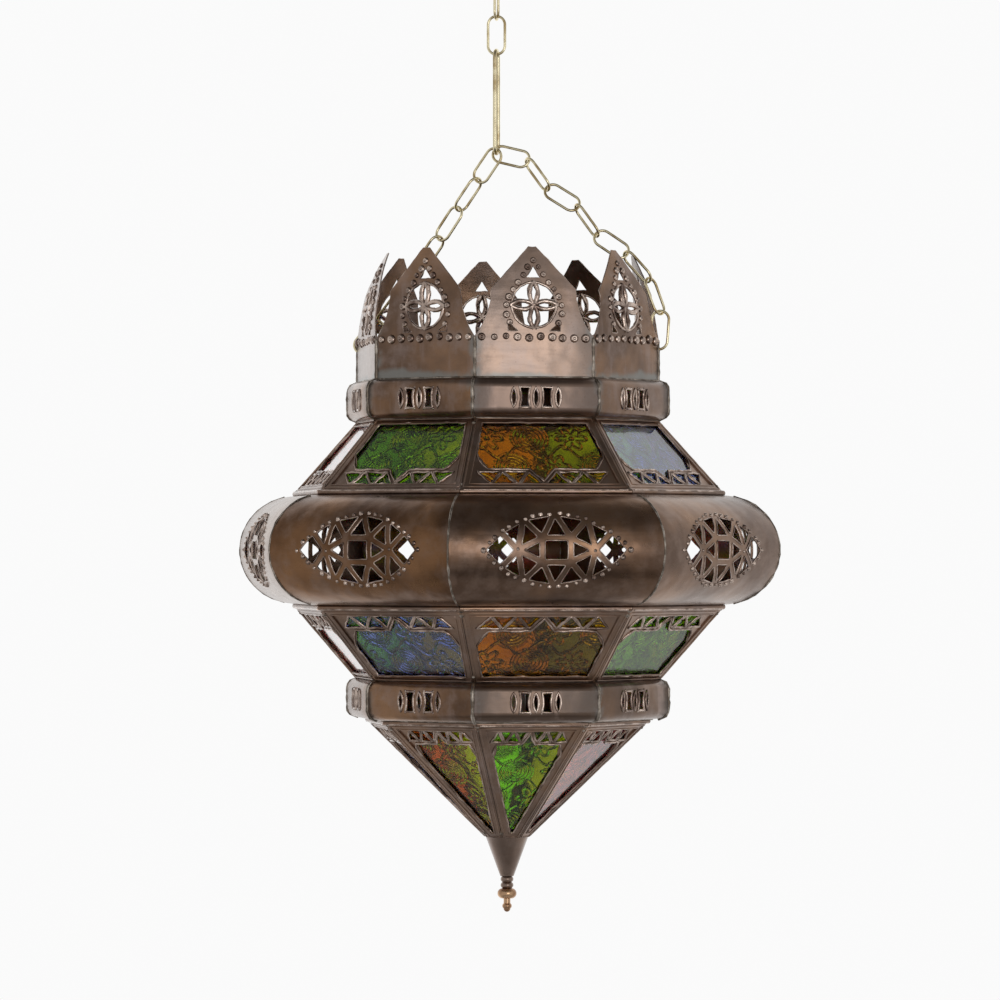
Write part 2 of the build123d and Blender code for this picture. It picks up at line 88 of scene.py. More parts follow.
class Sock:
    """An output socket that Python's operators can work on. | takes the larger value, so that masks join."""

    def __init__(self, graph: "Graph", socket: bpy.types.NodeSocket | None) -> None:
        """Keeps the socket with the graph that it is in."""
        self.graph = graph
        self.socket = socket

    def output(self, name: str) -> "Sock":
        """Another output of the same node."""
        return Sock(self.graph, self.socket.node.outputs[name])

    def maths(self, operation: str, first: Term, second: Term = 0.0) -> "Sock":
        """One Math node on two values."""
        return self.graph.add("ShaderNodeMath", {"operation": operation}, {0: first, 1: second})

    def __abs__(self) -> "Sock":
        """Size without its sign."""
        return self.maths("ABSOLUTE", self)

    __add__ = __radd__ = operator("ADD")
    __mul__ = __rmul__ = operator("MULTIPLY")
    __sub__ = operator("SUBTRACT")
    __rsub__ = operator("SUBTRACT", swapped=True)
    __or__ = operator("MAXIMUM")

    def fraction(self) -> "Sock":
        """What is left over a whole number."""
        return self.maths("FRACT", self)

    def rise(self, low: float, high: float) -> "Sock":
        """Smooth step from 0 below low to 1 above high."""
        ends = {"Value": self, "From Min": low, "From Max": high}
        return self.graph.add("ShaderNodeMapRange", {"interpolation_type": "SMOOTHSTEP"}, ends)


class Graph:
    """A node tree that is being built."""

    def __init__(self, tree: bpy.types.NodeTree) -> None:
        """Keeps the tree that new nodes go into."""
        self.tree = tree

    def add(
        self,
        kind: str,
        settings: dict[str, object] | None = None,
        inputs: dict[str | int, object] | None = None,
        output: int | str = 0,
    ) -> Sock:
        """Adds one node with its settings, its values and its links.

        Args:
            kind: Blender's name of the node type.
            settings: Properties of the node, set first. "stops" fills a colour ramp.
            inputs: Values or sockets by input name or number.
            output: Which output is handed back.

        Returns:
            The chosen output, or an empty socket where the node has none.
        """
        node = self.tree.nodes.new(kind)
        for name, value in (settings or {}).items():
            if name == "stops":
                self.set_stops(node.color_ramp, value)
            else:
                setattr(node, name, value)
        for name, value in (inputs or {}).items():
            if isinstance(value, Sock):
                self.tree.links.new(value.socket, node.inputs[name])
            else:
                node.inputs[name].default_value = value
        return Sock(self, node.outputs[output] if len(node.outputs) else None)

    @staticmethod
    def set_stops(ramp: bpy.types.ColorRamp, stops: Sequence[tuple[float, Colour]]) -> None:
        """Fills a stepped colour ramp.

        Args:
            ramp: The ramp.
            stops: Place and colour of each step.
        """
        ramp.interpolation = "CONSTANT"
        while len(ramp.elements) < len(stops):
            ramp.elements.new(0.5)
        for element, (place, colour) in zip(ramp.elements, stops):
            element.position = place
            element.color = (*colour, 1.0)

    def noise(
        self, place: Sock, scale: float | tuple[float, ...], detail: float = 3.0, rough: float = 0.5
    ) -> Sock:
        """Makes cloudy noise about 0.5.

        Args:
            place: Coordinates.
            scale: Features to a metre, for all axes or for each of the three.
            detail: Number of finer layers.
            rough: Strength of the finer layers.

        Returns:
            The noise.
        """
        if isinstance(scale, tuple):
            place = self.add("ShaderNodeMapping", None, {"Vector": place, "Scale": scale})
            scale = 1.0
        values = {"Vector": place, "Scale": scale, "Detail": detail, "Roughness": rough}
        return self.add("ShaderNodeTexNoise", None, values)

    def mix(self, factor: Term, first: Sock | Colour, second: Sock | Colour) -> Sock:
        """Mix of two colours or colour sockets, by the share of the second."""
        ends = [end if isinstance(end, Sock) else (*end, 1.0) for end in (first, second)]
        return self.add("ShaderNodeMix", {"data_type": "RGBA"}, {0: factor, 6: ends[0], 7: ends[1]}, output=2)

    def bump(self, height: Sock, depth: float, under: Sock | None = None) -> Sock:
        """Bends the normal by a height.

        Args:
            height: The height, from 0 to 1.
            depth: Metres between 0 and 1.
            under: A bent normal that this one lies on.

        Returns:
            The new normal.
        """
        values: dict[str | int, object] = {"Height": height, "Distance": depth}
        if under is not None:
            values["Normal"] = under
        return self.add("ShaderNodeBump", None, values, output="Normal")


@dataclass(frozen=True)
class Finish:
    """A finish: one material with a Principled shader."""

    name: str

    def material(self) -> bpy.types.Material:
        """Gives the finish's material.

        Returns:
            The material, which is built the first time that it is asked for.
        """
        found = bpy.data.materials.get(self.name)
        if found is not None:
            return found
        made = bpy.data.materials.new(self.name)
        made.use_nodes = True
        made.node_tree.nodes.clear()
        graph = Graph(made.node_tree)
        shader = made.node_tree.nodes.new("ShaderNodeBsdfPrincipled")
        graph.add("ShaderNodeOutputMaterial", None, {"Surface": Sock(graph, shader.outputs[0])})
        for name, value in self.constants().items():
            shader.inputs[name].default_value = value
        place = graph.add("ShaderNodeTexCoord", output="Object")
        for name, socket in self.surface(graph, place).items():
            graph.tree.links.new(socket.socket, shader.inputs[name])
        return made

    def constants(self) -> dict[str, object]:
        """Values that are the same all over the surface."""
        return {}

    def surface(self, graph: Graph, place: Sock) -> dict[str, Sock]:
        """Sockets that change over the surface, by input name."""
        return {}


@dataclass(frozen=True)
class Metal(Finish):
    """Metal, bare or under a slight coat of lacquer."""

    coat: float = field(default=0.0, kw_only=True)
    haze: float = field(default=0.15, kw_only=True)

    def constants(self) -> dict[str, object]:
        """Metal and its coat."""
        return {"Metallic": 1.0, "Coat Weight": self.coat, "Coat Roughness": self.haze, "Coat IOR": 1.5}


@dataclass(frozen=True)
class CopperSheet(Metal):
    """Oxidised copper sheet under worn lacquer, bowed between its corners and stained at its joints."""

    axis: Point
    dark: Colour = (0.115, 0.060, 0.032)
    warm: Colour = (0.335, 0.182, 0.094)
    mauve: Colour = (0.330, 0.240, 0.205)
    # Painted side light: a colour mixed in by a share for each side, standing in for the reflections and
    # shade that side shows, partly the sheet's own greyer tone.
    side_light_colour: Colour = (0.345, 0.280, 0.250)
    side_light_shares: tuple[float, ...] = (0.3,) * SIDES
    stain: Colour = (0.250, 0.252, 0.235)
    stain_heights: tuple[float, ...] = ()
    stain_reach: float = 0.0050
    stain_cover: float = 0.8
    corner_stain: float = 0.0
    mottling: float = 0.55
    streaking: float = 0.45
    rubbing: float = 0.12
    specking: float = 0.35
    swell: float = 0.0030
    wave: float = 0.0024
    ripple: float = 0.25
    dent: float = 0.0005
    polish: float = 0.20
    coat: float = field(default=0.55, kw_only=True)
    haze: float = field(default=0.16, kw_only=True)

    def surface(self, graph: Graph, place: Sock) -> dict[str, Sock]:
        """Lays patina clouds, painted side light (reflection and shade that differ by side, partly the
        sheet's own grey tone), streaks, rub marks, solder stains and hand-beaten dents.

        Args:
            graph: The material's nodes.
            place: Object coordinates.

        Returns:
            Colour, roughness and normal.
        """
        axes = graph.add("ShaderNodeSeparateXYZ", None, {0: place})
        turn = axes.maths("ARCTAN2", axes.output("Y") - self.axis[1], axes - self.axis[0]) * (1 / math.tau)
        corner = abs((turn * float(SIDES)).fraction() - 0.5) * 2.0
        # Painted side light: each side's share of the side light colour, standing in for its reflections and
        # shade, partly the sheet's own tone.
        stops = [(number / SIDES, (side_light_share,) * 3) for number, side_light_share in enumerate(self.side_light_shares)]
        side_light_share = graph.add("ShaderNodeValToRGB", {"stops": stops}, {"Fac": turn.fraction()})
        clouds = graph.noise(place, 16.0, 4.0, 0.55)
        mottle = graph.noise(place, 70.0, 4.0, 0.6)
        streak = graph.noise(place, (75.0, 75.0, 14.0), 3.0, 0.6)
        rubbed = graph.noise(place, (60.0, 60.0, 420.0), 3.0, 0.6)
        speck = graph.noise(place, 900.0, 2.0)
        base = graph.mix(clouds.rise(0.34, 0.68), self.dark, self.warm)
        base = graph.mix(mottle.rise(0.42, 0.76) * self.mottling, base, self.mauve)
        base = graph.mix(side_light_share, base, self.side_light_colour)
        base = graph.mix(streak.rise(0.52, 0.70) * self.streaking, base, self.mauve)
        base = graph.mix(rubbed.rise(0.52, 0.74) * self.rubbing, base, self.dark)
        base = graph.mix(speck.rise(0.62, 0.75) * self.specking, base, self.dark)
        smear = corner.rise(0.84, 0.97) * mottle.rise(0.40, 0.58) * self.corner_stain
        ragged = ((mottle - 0.5) * 2.0 + (clouds - 0.5) * 5.0) * self.stain_reach
        for level in self.stain_heights:
            near = abs(axes.output("Z") - level) + ragged
            smear = smear | (1.0 - near.rise(0.1 * self.stain_reach, self.stain_reach))
        base = graph.mix(smear * self.stain_cover, base, self.stain)
        rough = self.polish + 0.16 * mottle + 0.10 * rubbed + 0.08 * smear
        square = corner * corner
        fourth = square * square
        bowed = 0.6 * (1.0 - square) - 0.4 * fourth * fourth
        normal = graph.bump(bowed, self.swell) if self.swell else None
        normal = graph.bump(graph.noise(place, 15.0, 2.0, 0.4), self.wave, normal)
        normal = graph.bump(graph.noise(place, 42.0, 2.0), self.wave * self.ripple, normal)
        beaten = {"Vector": place, "Scale": 105.0, "Smoothness": 0.6}
        dents = graph.add("ShaderNodeTexVoronoi", {"feature": "SMOOTH_F1"}, beaten)
        relief = 0.55 * dents + 0.35 * mottle + 0.10 * rubbed
        return {"Base Color": base, "Roughness": rough, "Normal": graph.bump(relief, self.dent, normal)}


@dataclass(frozen=True)
class PatchedMetal(Metal):
    """Metal with duller patches and small marks, both from a noise with its scale, detail and roughness."""

    ground: Colour
    patch: Colour
    clouds: tuple[float, float, float] = (95.0, 4.0, 0.6)
    ends: Point = (0.42, 0.68)
    rough: Point = (0.16, 0.20)
    marks: tuple[float | tuple[float, ...], float, float] = (480.0, 2.0, 0.5)
    depth: float = 0.0003

    def surface(self, graph: Graph, place: Sock) -> dict[str, Sock]:
        """Lays the patches and the marks.

        Args:
            graph: The material's nodes.
            place: Object coordinates.

        Returns:
            Colour, roughness and normal.
        """
        cloud = graph.noise(place, *self.clouds)
        base = graph.mix(cloud.rise(*self.ends), self.ground, self.patch)
        normal = graph.bump(graph.noise(place, *self.marks), self.depth)
        return {"Base Color": base, "Roughness": self.rough[0] + self.rough[1] * cloud, "Normal": normal}


@dataclass(frozen=True)
class PressedGlass(Finish):
    """Clear coloured glass whose pressed relief is in its mesh, painted paler in the lowest tier to stand in
    for the brighter light that shines through it there.
    """

    colour: Colour
    deep: Colour
    shine: float
    # Painted light: the height below which the glass is painted paler, and by what share.
    lit_below: float = -0.495
    lit_share: float = 0.42
    ripple_depth: float = 0.00012

    def constants(self) -> dict[str, object]:
        """Clear all through."""
        return {"Transmission Weight": 1.0, "IOR": 1.52, "Coat Weight": self.shine, "Coat Roughness": 0.04}

    def surface(self, graph: Graph, place: Sock) -> dict[str, Sock]:
        """Lays streaks in the melt and a rippled skin.

        Args:
            graph: The material's nodes.
            place: Object coordinates.

        Returns:
            Colour, roughness and normal.
        """
        streak = graph.noise(place, (24.0, 24.0, 60.0))
        ripple = graph.noise(place, 260.0, 3.0, 0.55)
        base = graph.mix(streak.rise(0.35, 0.7), self.colour, self.deep)
        height = graph.add("ShaderNodeSeparateXYZ", None, {0: place}, "Z")
        # Painted light: below that height the colour moves towards its square root, a paler copy that stands
        # in for the brighter light through the lowest tier.
        lit_lowest = height.maths("LESS_THAN", height, self.lit_below) * self.lit_share
        base = graph.mix(lit_lowest, base, tuple(math.sqrt(part) for part in self.colour))
        normal = graph.bump(ripple, self.ripple_depth)
        return {"Base Color": base, "Roughness": 0.01 + 0.04 * ripple, "Normal": normal}


class Glass(Enum):
    """Colours of the panes, with the node that each replaces and its slot."""

    AMBER = ("amber_panes", Slot.AMBER, (0.54, 0.29, 0.010), (0.40, 0.19, 0.005), 0.0)
    GREEN = ("green_panes", Slot.GREEN, (0.24, 0.57, 0.006), (0.13, 0.38, 0.005), 0.0)
    BLUE = ("blue_panes", Slot.BLUE, (0.19, 0.27, 0.68), (0.11, 0.17, 0.56), 1.0)
    RED = ("red_panes", Slot.RED, (0.78, 0.13, 0.14), (0.58, 0.06, 0.08), 0.8)

    def __init__(self, node: str, slot: Slot, colour: Colour, deep: Colour, shine: float) -> None:
        """Keeps the node, the slot and the finish of one colour.

        Args:
            node: Node that the pressed panes replace.
            slot: Slot of the record.
            colour: Colour of the melt.
            deep: Colour of its streaks.
            shine: Weight of the glossy coat.
        """
        self.node = node
        self.slot = slot
        self.finish = PressedGlass(f"pressed_{node.split('_')[0]}_glass", colour, deep, shine)


def polar(radius: float, angle: float, height: float = 0.0) -> Point:
    """Point at a distance and an angle from a centre that stands at a height on the middle line."""
    return radius * math.cos(angle), height + radius * math.sin(angle)


def between(start: Point, end: Point, share: float) -> Point:
    """Point at a share of the way between two points."""
    return start[0] + (end[0] - start[0]) * share, start[1] + (end[1] - start[1]) * share


def mirrored(line: Iterable[Point]) -> Line:
    """A line on the other side of the middle."""
    return [(-x, y) for x, y in line]


def shaken(draw: random.Random, spot: Point, wander: Point) -> Point:
    """A place as the hand hits it, off by up to a wander across and up."""
    return spot[0] + draw.uniform(-wander[0], wander[0]), spot[1] + draw.uniform(-wander[1], wander[1])


def ridge(distance: float, half: float) -> float:
    """Height, from 0 to 1, of a rounded ridge at a distance from its crest."""
    return max(0.0, 1 - (distance / half) ** 2)


def bow(start: Point, end: Point, swell: float, count: int) -> Line:
    """Draws a shallow arc between two points.

    Args:
        start: First point.
        end: Last point.
        swell: How far the middle stands to the left of the straight line.
        count: Number of steps.

    Returns:
        The points from start up to, but without, end.
    """
    length = math.dist(start, end)
    left = ((start[1] - end[1]) / length, (end[0] - start[0]) / length)
    points = []
    for step in range(count):
        share = step / count
        x, y = between(start, end, share)
        out = 4 * swell * share * (1 - share)
        points.append((x + left[0] * out, y + left[1] * out))
    return points


def divided(corners: Sequence[Point], step: float, closed: bool) -> Line:
    """Divides the straight runs between corners into even steps.

    Args:
        corners: Corners of the drawing in order.
        step: Longest step along a run.
        closed: Whether the last corner joins the first.

    Returns:
        Points along the runs.
    """
    ends = [*corners[1:], corners[0]] if closed else corners[1:]
    points: Line = []
    for start, end in zip(corners, ends):
        points += bow(start, end, 0.0, max(1, math.ceil(math.dist(start, end) / step)))
    return points if closed else [*points, corners[-1]]


def inset(corners: Sequence[Point], distance: float) -> Line:
    """Draws the corners of a convex shape in.

    Args:
        corners: Corners in order, either way round.
        distance: How far each side moves in.

    Returns:
        The new corners.
    """
    pairs = list(zip(corners, [*corners[1:], corners[0]]))
    inward = math.copysign(distance, sum(a[0] * b[1] - b[0] * a[1] for a, b in pairs))
    sides = []
    for a, b in pairs:
        length = math.dist(a, b)
        run = ((b[0] - a[0]) / length, (b[1] - a[1]) / length)
        sides.append(((a[0] - run[1] * inward, a[1] + run[0] * inward), run))
    result = []
    for (a, first), (b, second) in zip([sides[-1], *sides[:-1]], sides):
        cross = first[0] * second[1] - first[1] * second[0]
        along = ((b[0] - a[0]) * second[1] - (b[1] - a[1]) * second[0]) / cross
        result.append((a[0] + first[0] * along, a[1] + first[1] * along))
    return result


def rounded(corners: Sequence[Point], cut: float, most: float = 0.4) -> Line:
    """Rounds off the corners of a closed shape.

    Args:
        corners: Corners in order.
        cut: Distance from a corner at which its curve starts.
        most: Largest share of a side that a curve takes.

    Returns:
        Three points for each corner.
    """
    points: Line = []
    for before, corner, after in zip([corners[-1], *corners[:-1]], corners, [*corners[1:], corners[0]]):
        shares = [min(cut / math.dist(corner, other), most) for other in (before, after)]
        start, end = between(corner, before, shares[0]), between(corner, after, shares[1])
        for share in (0.0, 0.5, 1.0):
            points.append(between(between(start, corner, share), between(corner, end, share), share))
    return points


@dataclass
class Marks:
    """Lines to sweep as wire, or points to set beads on, with the radius of what a tree makes there."""

    points: list[Vector] = field(default_factory=list)
    edges: list[tuple[int, int]] = field(default_factory=list)
    radii: list[float] = field(default_factory=list)
    normals: list[Vector] = field(default_factory=list)

    def add_line(self, line: Iterable[Vector], radius: float, place: Matrix, closed: bool = False) -> None:
        """Adds one line.

        Args:
            line: Points in the panel's own frame.
            radius: Radius of the wire.
            place: The panel's place on the lantern.
            closed: Whether the line joins up.
        """
        first = len(self.points)
        self.points += [place @ point for point in line]
        last = len(self.points) - 1
        self.edges += [(number, number + 1) for number in range(first, last)]
        if closed:
            self.edges.append((last, first))
        self.radii += [radius] * (last + 1 - first)

    def add_bead(self, point: Vector, normal: Vector, radius: float, place: Matrix) -> None:
        """Adds one bead.

        Args:
            point: Its place in the panel's own frame.
            normal: Direction that it stands in.
            radius: Its radius.
            place: The panel's place on the lantern.
        """
        self.points.append(place @ point)
        self.normals.append(place.to_3x3() @ normal)
        self.radii.append(radius)

    def mesh(self, name: str) -> bpy.types.Mesh:
        """Puts the marks into a mesh.

        Args:
            name: Name of the mesh.

        Returns:
            A mesh without faces, with a radius on each point, and a direction where they are beads.
        """
        mesh = bpy.data.meshes.new(name)
        mesh.from_pydata(self.points, self.edges, [])
        mesh.attributes.new(GeometryTree.RADIUS, "FLOAT", "POINT").data.foreach_set("value", self.radii)
        if self.normals:
            flat = [part for normal in self.normals for part in normal]
            mesh.attributes.new(BeadTree.NORMAL, "FLOAT_VECTOR", "POINT").data.foreach_set("vector", flat)
        return mesh


def placed(name: str, data: bpy.types.ID) -> bpy.types.Object:
    """Puts a new object into the scene, at the origin.

    Args:
        name: Name of the object.
        data: Its mesh, lamp or camera.

    Returns:
        The object.
    """
    made = bpy.data.objects.new(name, data)
    bpy.context.scene.collection.objects.link(made)
    return made


def dress(piece: bpy.types.Object, slot: Slot, *nodes: str) -> None:
    """Puts a finished piece on the lantern's body.

    Args:
        piece: The piece.
        slot: Record slot that its finish belongs to; not used.
        nodes: Nodes that it stands for.
    """
    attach(piece, LANTERN_BODY)
    if nodes:
        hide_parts(*nodes)
    LOG.info("%s: %d faces on %s", piece.name, len(piece.data.polygons), LANTERN_BODY)


class GeometryTree:
    """A Geometry Nodes tree with named inputs, ending in plain geometry with its material."""

    NAME = "geometry"
    RADIUS = "mark_radius"
    INPUTS: dict[str, str] = {}

    def __init__(self) -> None:
        """Builds the tree."""
        self.tree = bpy.data.node_groups.new(self.NAME, "GeometryNodeTree")
        sockets = {"Geometry": "NodeSocketGeometry", **self.INPUTS, "Material": "NodeSocketMaterial"}
        for name, kind in sockets.items():
            self.tree.interface.new_socket(name, in_out="INPUT", socket_type=kind)
        self.tree.interface.new_socket("Geometry", in_out="OUTPUT", socket_type="NodeSocketGeometry")
        graph = Graph(self.tree)
        given = graph.add("NodeGroupInput")
        smooth = graph.add("GeometryNodeSetShadeSmooth", None, {"Geometry": self.shape(graph, given)})
        real = graph.add("GeometryNodeRealizeInstances", None, {"Geometry": smooth})
        cover = {"Geometry": real, "Material": given.output("Material")}
        dressed = graph.add("GeometryNodeSetMaterial", None, cover)
        graph.add("NodeGroupOutput", None, {"Geometry": dressed})

    def shape(self, graph: Graph, given: Sock) -> Sock:
        """The geometry that the tree makes."""
        raise NotImplementedError

    def attribute(self, graph: Graph, name: str, kind: str = "FLOAT") -> Sock:
        """A value that the marks carry."""
        return graph.add("GeometryNodeInputNamedAttribute", {"data_type": kind}, {"Name": name})

    def piece(self, name: str, marks: Marks, finish: Finish, **sizes: float) -> None:
        """Runs the tree on marks, keeps the result as a plain mesh and puts it on the lantern.

        Args:
            name: Name of the new piece.
            marks: What the tree works on.
            finish: Finish of the piece.
            sizes: The tree's named inputs, with _ for a space.
        """
        carrier = marks.mesh(f"{name}_marks")
        rig = placed(f"{name}_rig", carrier)
        modifier = rig.modifiers.new(self.NAME, "NODES")
        modifier.node_group = self.tree
        wanted = {key.replace("_", " ").capitalize(): value for key, value in sizes.items()}
        wanted["Material"] = finish.material()
        for item in self.tree.interface.items_tree:
            if item.in_out == "INPUT" and item.name in wanted:
                modifier[item.identifier] = wanted[item.name]
        view = bpy.context.evaluated_depsgraph_get()
        mesh = bpy.data.meshes.new_from_object(rig.evaluated_get(view))
        mesh.name = name
        bpy.data.objects.remove(rig)
        bpy.data.meshes.remove(carrier)
        dress(placed(name, mesh), Slot.COPPER)


class WireTree(GeometryTree):
    """Sweeps a round wire, a little uneven as hand work is, along every line of a mesh."""

    NAME = "uneven_wire"
    INPUTS = {"Wander": "NodeSocketFloat", "Swing": "NodeSocketFloat", "Sides": "NodeSocketInt"}
    WANDER_SCALE = 240.0
    SWING_SCALE = 330.0

    def shape(self, graph: Graph, given: Sock) -> Sock:
        """Pushes the lines about by noise, and sweeps them with a radius that swings.

        Args:
            graph: The tree's nodes.
            given: The tree's inputs.

        Returns:
            The wires.
        """
        lines = graph.add("GeometryNodeMeshToCurve", None, {"Mesh": given.output("Geometry")})
        place = graph.add("GeometryNodeInputPosition")
        cloud = graph.noise(place, self.WANDER_SCALE, 2.0).output("Color")
        push = graph.add("ShaderNodeVectorMath", {"operation": "SUBTRACT"}, {0: cloud, 1: (0.5, 0.5, 0.5)})
        scaled = {0: push, "Scale": given.output("Wander")}
        push = graph.add("ShaderNodeVectorMath", {"operation": "SCALE"}, scaled)
        moved = graph.add("GeometryNodeSetPosition", None, {"Geometry": lines, "Offset": push})
        swing = (graph.noise(place, self.SWING_SCALE, 2.0) - 0.5) * given.output("Swing") + 1.0
        radius = self.attribute(graph, self.RADIUS) * swing
        section = {"Resolution": given.output("Sides"), "Radius": 1.0}
        ring = graph.add("GeometryNodeCurvePrimitiveCircle", None, section)
        swept = {"Curve": moved, "Profile Curve": ring, "Scale": radius, "Fill Caps": True}
        return graph.add("GeometryNodeCurveToMesh", None, swept)


class BeadTree(GeometryTree):
    """Sets a punched bead, flared at its foot and hollow on top, on every point of a mesh."""

    NAME = "raised_beads"
    NORMAL = "mark_normal"
    INPUTS = {
        "Height share": "NodeSocketFloat",
        "Hollow": "NodeSocketFloat",
        "Segments": "NodeSocketInt",
        "Rings": "NodeSocketInt",
    }
    HOLLOW_DEPTH = 0.75
    HOLLOW_SPREAD = 3.2

    def shape(self, graph: Graph, given: Sock) -> Sock:
        """Presses cones into the bead's section and turns them to each point's direction.

        Args:
            graph: The tree's nodes.
            given: The tree's inputs.

        Returns:
            The beads.
        """
        cone = {"Vertices": given.output("Segments"), "Side Segments": given.output("Rings")}
        cone |= {"Radius Top": 0.0, "Radius Bottom": 1.0, "Depth": 1.0}
        blank = graph.add("GeometryNodeMeshCone", {"fill_type": "NGON"}, cone)
        axes = graph.add("ShaderNodeSeparateXYZ", None, {0: graph.add("GeometryNodeInputPosition")})
        square = axes * axes + axes.output("Y") * axes.output("Y")
        flare = (1.0 - square) * (1.0 - square)
        hollow = given.output("Hollow") * (self.HOLLOW_DEPTH - self.HOLLOW_SPREAD * square)
        level = given.output("Height share") * flare * (1.0 - hollow)
        section = graph.add("ShaderNodeCombineXYZ", None, {"X": axes, "Y": axes.output("Y"), "Z": level})
        bead = graph.add("GeometryNodeSetPosition", None, {"Geometry": blank, "Position": section})
        normal = self.attribute(graph, self.NORMAL, "FLOAT_VECTOR")
        turn = graph.add("FunctionNodeAlignRotationToVector", {"axis": "Z"}, {"Vector": normal})
        set_down = {"Points": given.output("Geometry"), "Instance": bead, "Rotation": turn}
        set_down["Scale"] = self.attribute(graph, self.RADIUS)
        return graph.add("GeometryNodeInstanceOnPoints", None, set_down)


@dataclass(frozen=True)
class Octagon:
    """Plan of the lantern: its axis at the belly's middle, and the shares of a regular octagon."""

    axis: Vector
    half_tan: float = math.tan(math.pi / SIDES)
    corner_reach: float = 1 / math.cos(math.pi / SIDES)

    @classmethod
    def from_frame(cls) -> "Octagon":
        """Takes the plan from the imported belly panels.

        Returns:
            The plan.
        """
        boxes = [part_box(f"belly_panel_{number + 1}") for number in range(SIDES)]
        low = Vector(map(min, *(box[0] for box in boxes)))
        high = Vector(map(max, *(box[1] for box in boxes)))
        return cls((low + high) / 2)

    def side(self, number: float) -> Matrix:
        """Place of a side: its X points outwards and its Z up, from the belly's middle."""
        turn = Matrix.Rotation((number + 0.5) * math.tau / SIDES, 4, "Z")
        return Matrix.Translation(self.axis) @ turn

    def sides(self) -> list[Matrix]:
        """Places of all the sides."""
        return [self.side(number) for number in range(SIDES)]

    def corners(self) -> list[Matrix]:
        """Places of the corners, each before its side."""
        return [self.side(number - 0.5) for number in range(SIDES)]

    def ring(self, apothem: float, height: float, steps: int = 14) -> list[Vector]:
        """Draws a line round the plan.

        Args:
            apothem: Distance of its sides from the axis.
            height: Height above the belly's middle.
            steps: Steps along each side.

        Returns:
            Points in the lantern's own frame.
        """
        corners = [polar(apothem * self.corner_reach, number * math.tau / SIDES) for number in range(SIDES)]
        step = math.dist(corners[0], corners[1]) / steps
        return [Vector((x, y, height)) for x, y in divided(corners, step, closed=True)]


